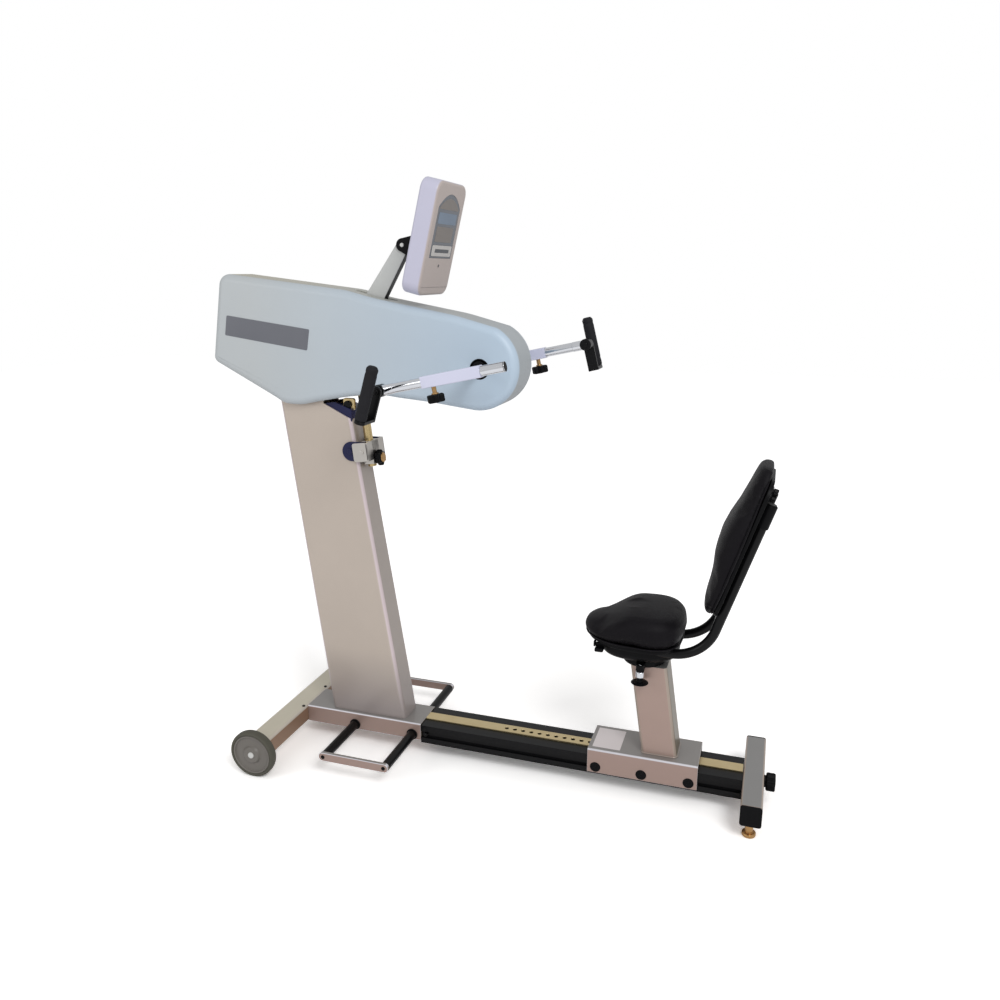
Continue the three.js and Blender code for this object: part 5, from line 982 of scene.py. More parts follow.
# %% [markdown]
# ## Cushions
# A cushion is foam under stretched vinyl: it bulges between its edges and creases where the cover is pulled
# down. Modelling the bulge by hand looks stiff, so the plain form is remeshed evenly and Blender's Cloth
# blows it up from inside for twenty frames. A cap on how far a point may go keeps the pad in its outline.
# The form starts a little small, because the pad swells.

# %% Blow up a cushion
CELL, PRESSURE, SWELL_CAP, CLOTH_FRAMES = 4.0, 4.0, 5.0, 20


def evaluated(obj):
    """A new mesh of the object as its modifiers leave it, which are then taken off."""
    graph = bpy.context.evaluated_depsgraph_get()
    mesh = bpy.data.meshes.new_from_object(obj.evaluated_get(graph))
    obj.modifiers.clear()
    return mesh


def places(mesh):
    """The mesh's points, one to a row."""
    flat = np.empty(len(mesh.vertices) * 3)
    mesh.vertices.foreach_get("co", flat)
    return flat.reshape(-1, 3)


def inflate(obj):
    """Moves each point as the cloth would, by at most the cap: the way times tanh(way / cap) * cap / way."""
    start = places(obj.data)
    cloth = obj.modifiers.new("foam", "CLOTH")
    settings = cloth.settings
    settings.quality, settings.mass = 5, 0.3
    settings.tension_stiffness = settings.compression_stiffness = 25
    settings.bending_stiffness = 3
    settings.use_pressure, settings.uniform_pressure_force = True, PRESSURE
    settings.effector_weights.gravity = 0
    cloth.point_cache.frame_start, cloth.point_cache.frame_end = 1, CLOTH_FRAMES
    for step in range(1, CLOTH_FRAMES + 1):
        scene.frame_set(step)
    move = places(evaluated(obj)) - start
    scene.frame_set(1)
    length = np.linalg.norm(move, axis=1, keepdims=True)
    cap = SWELL_CAP * MM
    kept = cap * np.tanh(length / cap) / np.maximum(length, 1e-9)
    obj.data.vertices.foreach_set("co", (start + move * kept).ravel())
    obj.data.update()
    print(obj.name, "swelled by up to", round(float(length.max()) / MM, 1), "mm")


def blown(name, form, body, node):
    """A cushion from a plain form: an even mesh, cloth pressure, and one subdivision."""
    obj = bpy.data.objects.new(name, mesh_of(name, [form]))
    scene.collection.objects.link(obj)
    remesh = obj.modifiers.new("even", "REMESH")
    remesh.mode, remesh.voxel_size = "VOXEL", CELL * MM
    obj.data = evaluated(obj)
    inflate(obj)
    obj.data.shade_smooth()
    smooth = obj.modifiers.new("even_out", "SMOOTH")
    smooth.factor, smooth.iterations = 0.5, 2
    finer = obj.modifiers.new("finer", "SUBSURF")
    finer.levels = finer.render_levels = 1
    dressed(obj, body, "vinyl", None, node)
    return obj


print("a cushion's cells are", CELL, "mm wide")

# %% [markdown]
# The seat cushion narrows towards its front, where it is scooped low for the sitter's thighs. Each ring is
# the seat's plan, drawn in and raised, and the last ones close towards the middle over a low crown.

# %% Seat cushion
SEAT_SHRINK, SEAT_THICK, SEAT_CROWN, SEAT_SCOOP, SEAT_ABOVE = 3.0, 71, 5, 32, 8.3


def smoothstep(t):
    """A ramp from 0 to 1 that starts and ends level."""
    t = np.clip(t, 0, 1)
    return t * t * (3 - 2 * t)


# How far a ring is drawn in, its share of the plan, its height's share and its share of the crown.
seat_shares = [(1, 1, 0, 0), (0.33, 1, 0.16, 0), (0, 1, 0.42, 0), (0.25, 1, 0.74, 0)]
seat_shares += [(1, 1, 0.92, 0), (2, 1, 1, 0), (2, 0.7, 1, 0.6), (2, 0.35, 1, 1)]
seat_rings = []
for drawn_in, keep, up, crown in seat_shares:
    edge_ring = seat_edge(14 * drawn_in + SEAT_SHRINK)
    edge_ring = (edge_ring - (SEAT_MIDDLE, 0)) * keep + (SEAT_MIDDLE, 0)
    scoop = smoothstep((-edge_ring[:, 0] / 145 - 0.1) / 0.65)
    height = 1 + up * (SEAT_THICK - SEAT_SHRINK) + crown * SEAT_CROWN - SEAT_SCOOP * up * scoop
    seat_rings.append(np.column_stack((edge_ring, height + SEAT_ABOVE)))
seat_pad = blown("seat_pad", lying(skin(seat_rings), SEAT), "seat", "seat_cushion")
print("seat pad has", len(seat_pad.data.vertices), "points")

# %% [markdown]
# The backrest pad is thin at its lower end, full in the middle and narrow at the top, and it wraps round
# towards the sitter at its sides. Its rings are stacked upwards, so that the flat rear side lies against
# the board.

# %% Backrest pad
BACK_PITCH, BACK_POINTS, BACK_REAR = 18, 72, 21.6
BACK = place_at(1075.25, 0, 449.63, BACK_PITCH)
BACK_LOW, BACK_LENGTH, BACK_HALF, BACK_DEPTH, BACK_WRAP, BACK_SHRINK = 16.0, 370.0, 118.0, 48.0, 4, 3.0
# The height's share of a ring, and the shares of its width and depth.
back_shares = [(0, 0.2, 0.08), (0.008, 0.32, 0.24), (0.03, 0.5, 0.38), (0.07, 0.7, 0.47), (0.12, 0.86, 0.56)]
back_shares += [(0.2, 0.97, 0.61), (0.31, 1, 0.74), (0.41, 1, 0.94), (0.52, 0.98, 1), (0.61, 0.95, 0.93)]
back_shares += [(0.71, 0.88, 0.78), (0.83, 0.78, 0.67), (0.92, 0.68, 0.62), (0.965, 0.58, 0.6)]
back_shares += [(0.99, 0.48, 0.5), (1, 0.32, 0.14)]
around_back = np.linspace(0, 2 * np.pi, BACK_POINTS, endpoint=False)
across, outward = squared(np.cos(around_back), 0.75), squared(np.sin(around_back), 0.75)
back_rings = []
for up, wide, deep in back_shares:
    depth = deep * (BACK_DEPTH + BACK_WRAP * across**2) - BACK_SHRINK
    front = np.where(outward > 0, outward * np.maximum(depth, 1.5), outward)
    rise = BACK_LOW + BACK_SHRINK + up * (BACK_LENGTH - 2 * BACK_SHRINK)
    y = (BACK_HALF - BACK_SHRINK) * wide * across
    back_rings.append(np.column_stack((-BACK_REAR - front, y, np.full(BACK_POINTS, rise))))
back_pad = blown("back_pad", lying(skin(back_rings), BACK), "back", "back_cushion")
print("back pad has", len(back_pad.data.vertices), "points")

# %% [markdown]
# A welt, which is a cord inside a strip of vinyl, is sewn into the joint between each pad's cover and its
# board. It is a thin round tube along a closed line.

# %% Welts round the pads
WELT_POINTS, SEAT_WELT_HEIGHT, BACK_WELT_X = 160, 12.5, -24.5


def welt(path, radius, upward, around=10):
    """A thin tube along a closed line, its rings spanned by the upward direction and the line's normal."""
    heading = np.roll(path, -1, 0) - np.roll(path, 1, 0)
    heading /= np.linalg.norm(heading, axis=1, keepdims=True)
    side = np.cross(heading, upward)
    side /= np.linalg.norm(side, axis=1, keepdims=True)
    angle = np.linspace(0, 2 * np.pi, around, endpoint=False)[None, :, None]
    rings = path[:, None] + radius * (np.cos(angle) * side[:, None] + np.sin(angle) * np.asarray(upward))
    return skin(rings, looped=True)


seat_line = np.column_stack((seat_edge(8.5, WELT_POINTS), np.full(WELT_POINTS, SEAT_WELT_HEIGHT)))
piece("seat_welt", "seat", "vinyl", welt(seat_line, 2.0, (0, 0, 1.0)), at=SEAT)
side_line = np.array(back_shares)[3:-3, :2] * (BACK_LENGTH, BACK_HALF - 7) + (BACK_LOW, 0)
loop = eased(np.vstack((side_line, side_line[::-1] * (1, -1))), 16, 5)
back_line = np.column_stack((np.full(len(loop), BACK_WELT_X), loop[:, 1], loop[:, 0]))
piece("back_welt", "back", "vinyl", welt(back_line, 2.6, (1.0, 0, 0)), at=BACK)
print("welts", len(seat_line), "and", len(loop), "points long")

# %% [markdown]
# ## Back bars and board
# Two bent tubes rise from sockets in the tray and carry the backrest's board, which slides on them and is
# locked by a small knob behind it. A bent tube is a round ring swept along straight, arc and straight. A
# curve object with a bevel would do the same, but its rings would twist in the bend.

# %% Back bars
TUBE_RADIUS, TUBE_SPREAD, BEND_RADIUS, BEND_ANGLE, BEND_START, TUBE_DROP = 11.0, 57.0, 97.0, 72, 68, 8
bend = np.radians(np.linspace(0, BEND_ANGLE, 25))
bend_rise = BEND_RADIUS * (1 - np.cos(bend)) - TUBE_DROP
bend_line = np.column_stack((BEND_START + BEND_RADIUS * np.sin(bend), bend_rise))
bend_end = bend_line[-1]
rise_ahead = np.array((math.cos(bend[-1]), math.sin(bend[-1])))
straight = [bend_end + way * rise_ahead for way in (150, 312.4)]
tube_line = np.vstack([(22, -TUBE_DROP), (45, -TUBE_DROP), bend_line, *straight])
tube_end = tube_line[-1] + 0.2 * rise_ahead
bars = []
for _, sign in SIDES:
    path = np.column_stack((tube_line[:, 0], np.full(len(tube_line), sign * TUBE_SPREAD), tube_line[:, 1]))
    end_place = place_at(tube_end[0], sign * TUBE_SPREAD, tube_end[1], BACK_PITCH)
    bars += [tube(path, TUBE_RADIUS, 32), lying(drum(10.6, -3, 0.6, 0.6), end_place)]
tie = drum(6.5, -TUBE_SPREAD, TUBE_SPREAD, 0.3, (bend_end[0], 0, bend_end[1]), "y")
piece("back_bars", "seat", "black_paint", *bars, tie, at=SEAT, stands_for="back_frame")
print("bars end at", np.round(tube_line[-1], 1))

# %% Backrest board, its sockets and knob
board = slab(eased(rectangle((-96, 96), (36, 360)), 40, 10), -20.3, -12.3, 1.5, "x", 3)
socket_profile = [(11.5, 258), (13.8, 258), (13.8, 310), (11.5, 310)]
socket_places = [(0, sign * TUBE_SPREAD, 0) for _, sign in SIDES]
sockets = [lathed(socket_profile, 0.8, place, looped=True) for place in socket_places]
bridge = carved(
    box((-13.3, -4), (-TUBE_SPREAD, TUBE_SPREAD), (271, 297), 0.8, 2.5, "x"),
    *[drum(12, 250, 320, 0.1, place) for place in socket_places],
)
pad = box((-13.3, -4), (-19, 19), (284, 333), 0.8, 5, "x")
board_forms = (board, *sockets, bridge, pad)
piece("backrest_board", "back", "black_plastic", *board_forms, at=BACK, stands_for="back_board")
screws = [drum(4.2, -13, -9.8, 0.9, (0, y, z), "x") for y in (-70, 70) for z in (76, 330)]
piece("board_screws", "back", "black_paint", *screws, at=BACK)
BACK_KNOB = BACK @ place_at(-3.7, 0, 317) @ FACING_X
knob_forms = (*lobed_knob(16, 11, edge=2.4), drum(5, -8, 0, 0.4))
piece("back_grip", "back_knob", "black_plastic", *knob_forms, at=BACK_KNOB, stands_for="back_knob")
print("board with", len(screws), "screws")

# %% [markdown]
# ## Head housing
# The head is moulded in two halves that meet on the centre line. Seen from the side it is a long leaf with
# a round nose, and its rim is rounded all the way. A slab with a quarter-circle rim on one face only is
# one half. The mouth for the column, the crank's hole and the slot of the console arm are cut out of it,
# and a second, smaller slab hollows it.

# %% Head housing
HEAD = place_at(*PIVOT)
HEAD_LENGTH, HEAD_HEIGHT, HEAD_BEHIND, HEAD_BELOW = 790, 308, 231, 41
HEAD_HALF, HEAD_EDGE, HEAD_WALL, SEAM = 62.7, 18.0, 3.5, 0.15
HUB, HUB_BORE, NOSE, NOSE_RADIUS = (470.5, 61.0), 23, (461, 64), 98
underside_shares = [(0, 0.331), (0.216, 0.049), (0.243, 0.007), (0.303, 0.002), (0.37, 0.039), (0.446, 0.075)]
underside_shares += [(0.506, 0.097), (0.556, 0.114), (0.629, 0.091), (0.732, 0.068), (0.794, 0.047)]
top_shares = [(0.808, 0.708), (0.558, 0.825), (0.468, 0.883)]


def head_points(shares):
    """Points of the head's side view, from shares of its length and height."""
    return np.asarray(shares, float) * (HEAD_LENGTH, HEAD_HEIGHT) - (HEAD_BEHIND, HEAD_BELOW)


nose = arc(NOSE, NOSE_RADIUS, -100, 62, 48)
rear = arc(head_points((0.0768, 0.91)), 28, 83, 169, 12)
lower = eased(np.vstack((rear[-1:], head_points(underside_shares), nose[:1])), 12, 4, closed=False)[1:-1]
upper = eased(np.vstack((nose[-1:], head_points(top_shares), rear[:1])), 14, 4, closed=False)[1:-1]
head_outline = np.vstack((lower, nose, upper, rear))
for side, sign in SIDES:
    rims, inner_rims = (HEAD_EDGE, 0.4)[::-sign], (HEAD_EDGE - HEAD_WALL, 0.1)[::-sign]
    inner_y = spanned(sign, SEAM - 2, HEAD_HALF - HEAD_WALL)
    half_shell = carved(
        slab(head_outline, *spanned(sign, SEAM, HEAD_HALF), rims, "y", 10),
        slab(inset(head_outline, HEAD_WALL), *inner_y, inner_rims, "y", 6),
        box((-105, 225), (-50, 50), (-308, 0), 0.2, 8, "z", 5),
        drum(HUB_BORE, -125, 125, 0.1, (HUB[0], 0, HUB[1]), "y", 64),
        box((145.6, 246.4), (-11.6, 11.6), (180, 300), 0.2, 4, "z", 4),
    )
    name, shell = f"housing_{side}", f"head_shell_{side}"
    piece(name, "head", "shell", half_shell, at=HEAD, stands_for=shell, finish=housing_plastic, sharp=28)
print("head outline has", len(head_outline), "points")

# %% [markdown]
# A bare dark plate is glued to the near face, and a thin ring lines the crank's hole. The collar of the
# crank turns inside it. The plate could be a patch of colour in the housing's material, but a thin slab
# catches the light along its edges as the real one does.

# %% Plate, hole lining and hub collar
plate_corners = np.array([(-123, 1069), (101, 1037), (110, 1086), (-114.5, 1116)], float)
plate = slab(eased(plate_corners, 3, 3), -HEAD_HALF - 0.9, -HEAD_HALF + 0.4, (0.5, 0.1), "y", 2)
piece("side_plate", "head", "shell", plate, finish=plate_film)
hub_at = (PIVOT[0] + HUB[0], 0, PIVOT[2] + HUB[1])
lining = [(21.7, 52), (21.7, HEAD_HALF + 0.3), (22.4, HEAD_HALF + 0.6), (23.1, HEAD_HALF + 0.3), (23.1, 52)]
face = HEAD_HALF + 1
collar = [(10.1, face - 12), (21.2, face - 12), (21.2, face)]
collar += [(17, face), (15.5, face - 1.6), (10.1, face - 1.6)]
for side, sign in SIDES:
    hub_ring = lathed(np.array(lining) * (1, sign), 0.2, hub_at, "y", 64, looped=True, steps=2)
    piece(f"hub_lining_{side}", "head", "black_plastic", hub_ring)
    crank_ring = lathed(np.array(collar) * (1, sign), 0.7, hub_at, "y", 64, looped=True)
    piece(f"hub_collar_{side}", "crank", "black_paint", crank_ring)
print("crank turns at", hub_at)

# %% [markdown]
# ## Crank arms and handles
# On each side a square sleeve is fixed to the crank's shaft. A chromed rod slides in it and is held by a
# lobed knob with a brass stud. The sleeve is carved, so that the rod shows its gap when it slides. Each arm
# is made along its own axis and carried to its place by one matrix, which keeps the sizes readable.

# %% Crank arms
CRANK = place_at(*hub_at, -12)
ARM_PLANE, SLEEVE_HALF, SLEEVE_BORE, ROD_THICK, HANDLE_REACH = 180.0, 12.7, 11.3, 11, 191.0
LOCK_AHEAD, LOCK_DROP = 65.5, 29
for side, sign in SIDES:
    arm = CRANK.copy()
    arm[1, 3] = sign * ARM_PLANE
    rod_body, knob_body = f"arm_rod_{side}", f"arm_knob_{side}"
    square = (-SLEEVE_HALF, SLEEVE_HALF)
    sleeve = carved(
        box(spanned(sign, -47, 88), square, square, 0.5, 2.2, "x", 4),
        drum(SLEEVE_BORE, -120, 120, 0.1, axis="x", around=48),
    )
    node = f"arm_sleeve_{side}"
    piece(f"sleeve_{side}", "crank", "silver_paint", sleeve, at=arm, stands_for=node, finish=sleeve_enamel)
    rod = drum(ROD_THICK, *spanned(sign, -101, 163), 0.8, axis="x", around=48)
    piece(f"rod_{side}", rod_body, "chrome", rod, at=arm, stands_for=rod_body)
    cap = drum(ROD_THICK, *spanned(sign, -101.2, -97.5), 1.2, axis="x", around=48)
    piece(f"rod_cap_{side}", rod_body, "chrome", cap, at=arm, finish=black_plastic)
    eye_place = (sign * HANDLE_REACH, 0, 0)
    neck = drum(11.6, *spanned(sign, 157, 184), 1.2, axis="x")
    neck = carved(neck, drum(13.6, -20, 20, 0.1, eye_place, "y"))
    piece(f"rod_neck_{side}", rod_body, "chrome", neck, at=arm)
    eye = lathed([(5.3, -13), (14, -13), (14, 13), (5.3, 13)], 1.4, eye_place, "y", looped=True)
    piece(f"rod_boss_{side}", rod_body, "chrome", eye, at=arm, finish=black_enamel)
    knob_at = arm @ place_at(LOCK_AHEAD * sign, 0, -LOCK_DROP) @ FACING_DOWN
    grip = lobed_knob(20, 18)[0]
    piece(f"lock_grip_{side}", knob_body, "black_plastic", grip, at=knob_at, stands_for=knob_body)
    insert = (drum(8, 15, 18.6, 1.6), drum(5, -17.7, 1, 0.5), drum(8, -3, 0.5, 0.8))
    piece(f"lock_stud_{side}", knob_body, "black_plastic", *insert, at=knob_at, finish=brass)
print("arms at", ARM_PLANE, "mm from the middle")

# %% [markdown]
# At the rod's end a black bracket turns and carries a rubber grip. The bracket is flat bar with a round
# end, so two slabs do for it, and the grip's ridges are part of its turned profile.

# %% Handle brackets and grips
HANDLE_TILT, PLATE_RADIUS, GRIP_OUT = {"near": 17.0, "far": -14.0}, 12.5, 65
grip_profile = [(5.4, 0), (12, 0), (13, 3), (13, 14), (12.4, 16), (12.4, 20), (13, 22)]
grip_profile += [(13, 100), (12.4, 103), (12.4, 106), (13, 108), (13, 114), (9, 119.6), (0.4, 120)]
for side, sign in SIDES:
    hinge = CRANK @ place_at(sign * HANDLE_REACH, 0, 0)
    handle = place_at(hinge[0, 3], sign * ARM_PLANE, hinge[2, 3], HANDLE_TILT[side])
    outline = np.vstack(([(-PLATE_RADIUS, -66), (PLATE_RADIUS, -66)], arc((0, 0), PLATE_RADIUS, 0, 180, 24)))
    plate = slab(outline, *spanned(sign, 16, 23), 1.2, "y", 3)
    foot_sides = [(-PLATE_RADIUS, 16.5 * sign), (PLATE_RADIUS, 16.5 * sign)]
    foot_outline = np.vstack((arc((0, GRIP_OUT * sign), PLATE_RADIUS, 0, 180 * sign, 24), foot_sides))
    foot = slab(foot_outline[::sign], -66, -58, 1.4, "z", 3)
    pin = drum(5, *spanned(sign, -13, 17), 0.4, axis="y")
    body, node = f"handle_{side}", f"handle_bracket_{side}"
    piece(f"bracket_{side}", body, "black_paint", plate, foot, pin, at=handle, stands_for=node)
    inner_head = drum(6.2, *spanned(sign, -13.4, -16.2), 1.3, axis="y")
    outer_head = drum(6.5, *spanned(sign, 22.6, 26), 1.5, axis="y")
    piece(f"bracket_bolt_{side}", body, "black_paint", inner_head, outer_head, at=handle)
    rubber_grip = lathed(grip_profile, 1.1, (0, GRIP_OUT * sign, -57.7), around=56)
    piece(f"hand_grip_{side}", body, "rubber", rubber_grip, at=handle, stands_for=f"grip_{side}")
print("handles tilted", HANDLE_TILT)

# %% [markdown]
# ## Console and its arm
# A flat arm rises from the head and holds the console on a friction knuckle. The arm is one outline with a
# round end, pushed across the middle, and a thin black slab along its front edge is painted shade for the
# arm's shaded front face.

# %% Console arm and its painted edge shade
ARM_FOOT, ARM_TOP, ARM_END = np.array((246, 1129.3)), np.array((333, 1274)), 15
arm_lean = math.degrees(math.atan2(*(ARM_TOP - ARM_FOOT)))
arm_outline = np.vstack((
    [ARM_FOOT + (-18, 0), ARM_FOOT + (21, 0), ARM_FOOT + (32, 21)],
    arc(ARM_TOP, ARM_END, -arm_lean, 180 - arm_lean, 24),
    [ARM_FOOT + (-16, 29.4)],
))
knuckle_bore = drum(4.3, -20, 20, 0.1, (ARM_TOP[0], 0, ARM_TOP[1]), "y")
console_arm = carved(slab(arm_outline, -10, 10, 1.2, "y", 3), knuckle_bore)
piece("stalk", "head", "silver_paint", console_arm, stands_for="console_arm", finish=stalk_enamel)
lean = math.radians(arm_lean)
# A thin black slab along the arm's front edge: painted shade that stands for the arm's shaded front face.
edge_shade_start, edge_shade_end = ARM_FOOT + (32, 21), ARM_TOP + ARM_END * np.array((math.cos(lean), -math.sin(lean)))
along = (edge_shade_end - edge_shade_start) / np.linalg.norm(edge_shade_end - edge_shade_start)
off = np.array((along[1], -along[0]))
edge_shade = [edge_shade_start - 0.5 * off, edge_shade_start + 0.8 * off]
edge_shade += [edge_shade_end - 6 * along + 0.8 * off, edge_shade_end - 6 * along - 0.5 * off]
piece("stalk_edge_shade", "head", "black_paint", slab(np.array(edge_shade), -8.6, 8.6, 0.3, "y", 2))
print("console arm leans", round(arm_lean, 1), "degrees")

# %% Knuckle
CONSOLE = place_at(ARM_TOP[0], 0, ARM_TOP[1], CONSOLE_PITCH)
CASE_BACK, CASE_FRONT, CASE_LOW, CASE_HIGH, CASE_HALF = 45.5, 90.0, -92.0, 155.0, 85.0
KNUCKLE_LOW, KNUCKLE_HIGH, KNUCKLE_BACK = -28, 38, CASE_BACK - 0.3
cheek_sides = [(KNUCKLE_BACK, KNUCKLE_LOW), (KNUCKLE_BACK, KNUCKLE_HIGH)]
cheek_outline = np.vstack((cheek_sides, arc((0, 0), ARM_END, 115, 270, 24)))
cheeks = [slab(cheek_outline, *spanned(sign, 10.3, 15.3), 1.2, "y", 3) for _, sign in SIDES]
back_plate = box((CASE_BACK - 5.3, KNUCKLE_BACK), (-22, 22), (KNUCKLE_LOW, KNUCKLE_HIGH), 0.8, 3, "x")
knuckle = (*cheeks, back_plate, drum(4, -11.3, 11.3, 0.3, axis="y"))
piece("knuckle", "console", "black_plastic", *knuckle, at=CONSOLE, stands_for="console_knuckle")
screws = [drum(4.6, *spanned(sign, 14.8, 17.4), 1.2, axis="y") for _, sign in SIDES]
piece("knuckle_screws", "console", "black_plastic", *screws, at=CONSOLE, finish=white_cap)
print("console tilts about", ARM_TOP)

# %% [markdown]
# The console is a tall box with soft corners. Its arched panel lies in a recess, which is carved so that its
# edge casts a thin shadow. The dark fields are thin slabs that stand a little proud of the panel.

# %% Console case and panel
SCREEN_HALF, SCREEN_LOW, SCREEN_HIGH, ARCH_RISE, RECESS = 63.0, -8.0, 101.0, 58.0, 3.0


def arched(grow, low=SCREEN_LOW, high=SCREEN_HIGH):
    """The panel's outline: square below, and above a parabola between its sides: rise times 2t(1 - t)."""
    t = np.linspace(0, 1, 25)
    edge = SCREEN_HALF + grow
    bow = np.column_stack((edge * (1 - 2 * t), high + 2 * t * (1 - t) * (ARCH_RISE + 2 * grow)))
    return np.vstack(([(-edge, low - grow), (edge, low - grow)], bow))


case_corners = rectangle((-CASE_HALF, CASE_HALF), (CASE_LOW, CASE_HIGH))
recess_form = slab(arched(0.3), CASE_FRONT - RECESS, CASE_FRONT + 9, 0, "x", 1)
case = carved(slab(eased(case_corners, 26, 12), CASE_BACK, CASE_FRONT, 7, "x", 7), recess_form)
look = {"finish": console_plastic, "sharp": 28}
piece("case", "console", "shell", case, at=CONSOLE, stands_for="console_case", **look)
panel = slab(arched(0), CASE_FRONT - RECESS + 0.3, CASE_FRONT - 0.4, 0.4, "x", 2)
piece("panel", "console", "screen", panel, at=CONSOLE, stands_for="console_screen", finish=panel_film)
print("panel from", SCREEN_LOW, "to", SCREEN_HIGH)

# %% Fields of the panel
face = CASE_FRONT - 0.5
fields = {
    "panel_arch": (slab(arched(-9, 88, 101), face, face + 0.45, 0.2, "x", 1), arch_film),
    "panel_window": (box((face, face + 0.5), (-52, 52), (66, 90), 0.3, 3, "x"), window_glass),
    "panel_keys": (box((face, face + 0.45), (-50, 46), (27, 60), 0.2, 2, "x"), arch_film),
    "panel_box": (box((face, face + 1.6), (-56, 56), (-4, 20), 1.0, 4, "x"), key_plastic),
    "panel_slot": (box((face + 1, face + 2.0), (-40, 40), (4, 12), 0.4, 2, "x"), smoked_screen),
    "case_dot": (drum(3.2, CASE_FRONT - 0.5, CASE_FRONT + 0.7, 0.5, (0, 0, -25), "x"), smoked_screen),
}
for name, (form, film) in fields.items():
    piece(name, "console", "screen", form, at=CONSOLE, finish=film)
lip = box((CASE_FRONT - 0.5, CASE_FRONT + 0.5), (-76, 76), (-73.6, -72.4), 0.3, 0.6, "x")
piece("case_lip", "console", "shell", lip, at=CONSOLE, finish=seam_paint)
print("console fields", list(fields))

# %% [markdown]
# ## Tilt strut, clamp and yoke
# A plated tube hangs from a cross pin inside the head and passes through a clamp on the column's front. The
# clamp swings between two navy cheeks, and its knob has a brass insert. All of them are made upright along
# the strut and then leaned with it by one matrix, so that the tube stays in the middle of its bore.

# %% Strut and clamp
STRUT_X, STRUT_HEIGHT, STRUT_LEAN = 223, 795, -6.466
CLAMP_FRONT, CLAMP_RISE, CLAMP_OUTSIDE = 15.6, 23, 46
STRUT = place_at(STRUT_X, 0, STRUT_HEIGHT, STRUT_LEAN)
strut_tube = carved(drum(10.5, -42, 139.6, 0.8, around=40), drum(8.2, -50, -6, 0.1))
eye = lathed([(6.5, -6), (12, -6), (12, 6), (6.5, 6)], 0.8, (0, 0, 150.96), "y", looped=True)
strut_neck = box((-5.25, 5.25), (-6, 6), (127, 143), 0.8, 1.5)
piece("plated_strut", "strut", "zinc", strut_tube, eye, strut_neck, at=STRUT, stands_for="tilt_strut")

core = box((-12.1, CLAMP_FRONT), (-20, 20), (-34, CLAMP_RISE), 0.8, 3, "z", 4)
core = carved(core, drum(11.1, -60, 60, 0.1, around=48))
clamp_z = (-CLAMP_RISE, CLAMP_RISE)
clamp = [core, box((12.1, CLAMP_FRONT), (-CLAMP_OUTSIDE, CLAMP_OUTSIDE), clamp_z, 0.7, 3, "x", 4)]
for _, sign in SIDES:
    clamp.append(box((-24, CLAMP_FRONT), spanned(sign, 42.4, CLAMP_OUTSIDE), clamp_z, 0.7, 6, "y", 5))
clamp += [drum(5, *spanned(sign, 38.3, 48), 1.2, axis="y") for _, sign in SIDES]
piece("clamp_block", "clamp", "bright_steel", *clamp, at=STRUT, stands_for="strut_clamp")
CLAMP_KNOB = STRUT @ place_at(15.9, 0, -22) @ FACING_X
clamp_grip = lobed_knob(20, 16, edge=4.5)[0]
piece("clamp_grip", "clamp_knob", "black_plastic", clamp_grip, at=CLAMP_KNOB, stands_for="clamp_knob")
clamp_insert = (drum(12, 13, 19.6, 5.0), drum(5, -3.7, 1, 0.4), drum(9, -0.2, 1, 0.4))
piece("clamp_insert", "clamp_knob", "brass", *clamp_insert, at=CLAMP_KNOB)
print("strut leans", STRUT_LEAN, "degrees")

# %% Yoke
yoke_sides = [(231.5, STRUT_HEIGHT - 24), (231.5, STRUT_HEIGHT + 24)]
yoke_outline = np.vstack((yoke_sides, arc((193, STRUT_HEIGHT), 24, 90, 270, 32)))
yoke_bolt = (column_edges(STRUT_HEIGHT - BOX_TOP)[1] - 15.5, 0, STRUT_HEIGHT)
yoke = []
for _, sign in SIDES:
    yoke.append(slab(yoke_outline, *spanned(sign, 38.3, 42.1), 0.6, "y", 2))
    yoke.append(drum(7, *spanned(sign, 42, 45.4), 1.2, yoke_bolt, "y"))
piece("yoke_cheeks", "base", "navy_paint", *yoke, stands_for="strut_yoke")
print("yoke with", len(yoke), "forms")

# %% [markdown]
# In the column's notch lie a navy gusset and a plated lug with the head's stop bolt. They show under the
# housing's mouth. Each is a slab or a drum, because only their outlines can be seen there.

# %% Gusset, lug and stop bolt
gusset = slab([(126, 900), (126, 909.5), (150, 913), (194, 896), (194, 867)], -34, 34, 0.8, "y", 2)
piece("notch_gusset", "base", "navy_paint", gusset)
piece("stop_lug", "base", "zinc", box((168, 198), (-24, -16), (893, 922), 1, 5, "y", 4))
stop_place = (181, 0, 907)
stop_bolt = [drum(9.5, -30, -24, 1.6, stop_place, "y"), drum(4, -24, -10, 0.3, stop_place, "y")]
piece("stop_bolt", "base", "black_paint", *stop_bolt)

# %% [markdown]
# ## Floor and light
# The machine stands on a plain white floor in front of white walls. To the camera the floor's paint is
# brighter than white, so that it shows as plain white where the light reaches it, and less bright near the
# machine, where the shadow shows. Everything else meets an ordinary pale floor. A large soft box above and
# in front and a second at the side light the machine. The walls are the world, which is plain white to the
# camera and dimmer as a light.

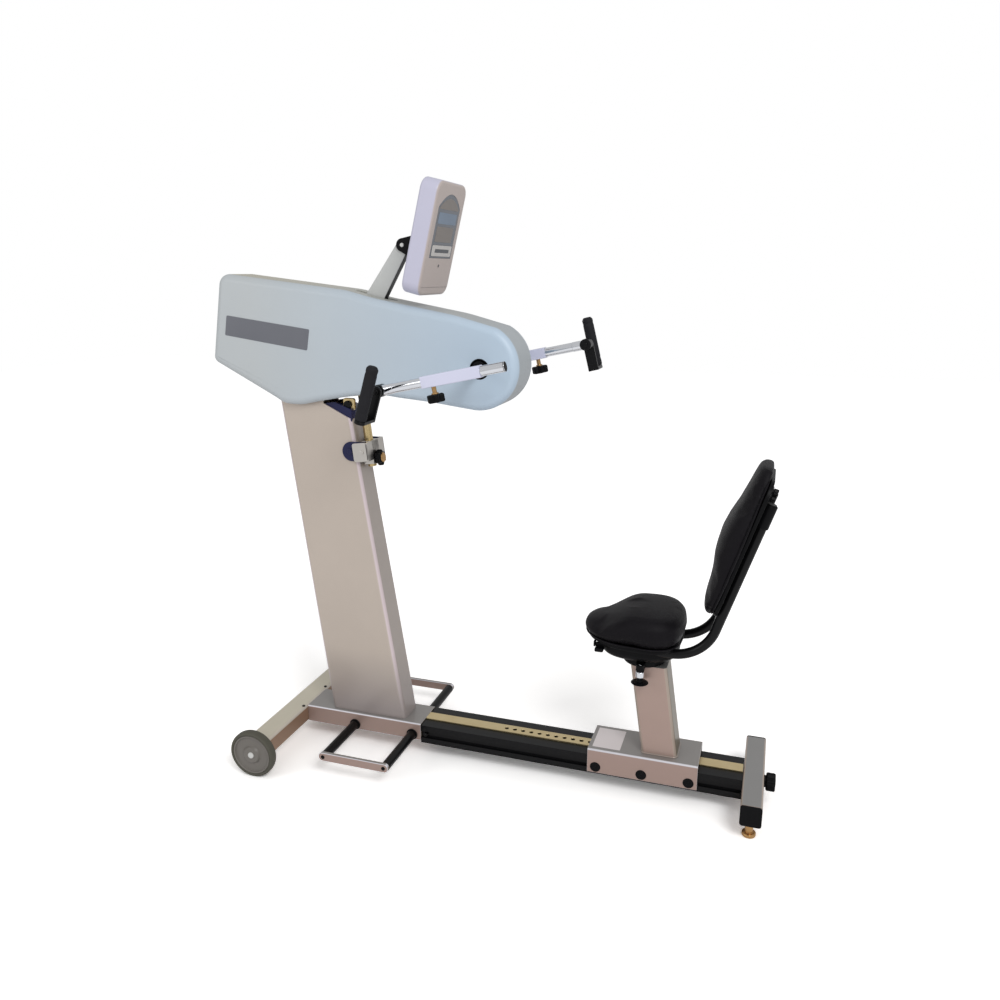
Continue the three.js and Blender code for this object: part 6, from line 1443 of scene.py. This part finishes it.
# %% Floor
FLOOR_HALF = 9.0
FLOOR_COLOUR, FLOOR_SHADE = (0.92, 0.915, 0.92), (0.90, 0.895, 0.90)
FLOOR_SEEN, FLOOR_NEAR = (1.75, 1.74, 1.75), (1.42, 1.41, 1.40)
CAMERA_RAY, NEAR_EDGE, NEAR_SOFTNESS, FLOOR_CLOUD = 0, 1.2, 0.9, 1.5
floor_limits = (-FLOOR_HALF, FLOOR_HALF)
floor_mesh = bpy.data.meshes.new("floor")
floor_mesh.from_pydata([(x, y, 0) for x, y in rectangle(floor_limits, floor_limits)], [], [(0, 1, 2, 3)])
floor = bpy.data.objects.new("floor", floor_mesh)
floor_paint = Paint("floor_paint", Roughness=0.9, Specular_IOR_Level=0.0)
plain = floor_paint.mixed(floor_paint.noise(FLOOR_CLOUD), FLOOR_COLOUR, FLOOR_SHADE)
seen_by_camera = floor_paint.node("ShaderNodeLightPath", output=CAMERA_RAY)
away = (floor_paint.along(0) ** 2.0 + floor_paint.along(1) ** 2.0) ** 0.5
bright = floor_paint.mixed(away.above(NEAR_EDGE, NEAR_SOFTNESS), FLOOR_NEAR, FLOOR_SEEN)
floor_paint.feed(Base_Color=floor_paint.mixed(seen_by_camera, plain, bright))
floor.data.materials.append(floor_paint.material)
scene.collection.objects.link(floor)
print("floor", 2 * FLOOR_HALF, "m wide")

# %% Lamps
def soft_box(name, place, aim, side, watts):
    """A square area lamp at place, turned towards aim."""
    lamp = bpy.data.objects.new(name, bpy.data.lights.new(name, "AREA"))
    lamp.data.size = side
    lamp.data.energy = watts
    lamp.location = place
    lamp.rotation_euler = (Vector(aim) - Vector(place)).to_track_quat("-Z", "Y").to_euler()
    scene.collection.objects.link(lamp)


soft_box("key_box", (1.9, -2.2, 3.0), (0, 0, 0.5), 1.4, 62)
soft_box("fill_box", (-2.4, -2.6, 1.8), (0, 0, 0.6), 1.6, 18)

# %% Walls
WALL_LIGHT, WALL_SEEN = 0.62, 1.0
world = bpy.data.worlds.new("studio")
world.use_nodes = True
tree = world.node_tree
rays = tree.nodes.new("ShaderNodeLightPath")
seen = tree.nodes.new("ShaderNodeMath")
seen.operation = "MAXIMUM"
tree.links.new(rays.outputs["Is Camera Ray"], seen.inputs[0])
tree.links.new(rays.outputs["Is Transmission Ray"], seen.inputs[1])
strength = tree.nodes.new("ShaderNodeMapRange")
strength.inputs["To Min"].default_value = WALL_LIGHT
strength.inputs["To Max"].default_value = WALL_SEEN
tree.links.new(seen.outputs[0], strength.inputs["Value"])
background = tree.nodes["Background"]
background.inputs["Color"].default_value = (1, 1, 1, 1)
tree.links.new(strength.outputs[0], background.inputs["Strength"])
scene.world = world
scene.view_settings.view_transform = "Standard"
print("walls light the machine at", WALL_LIGHT)
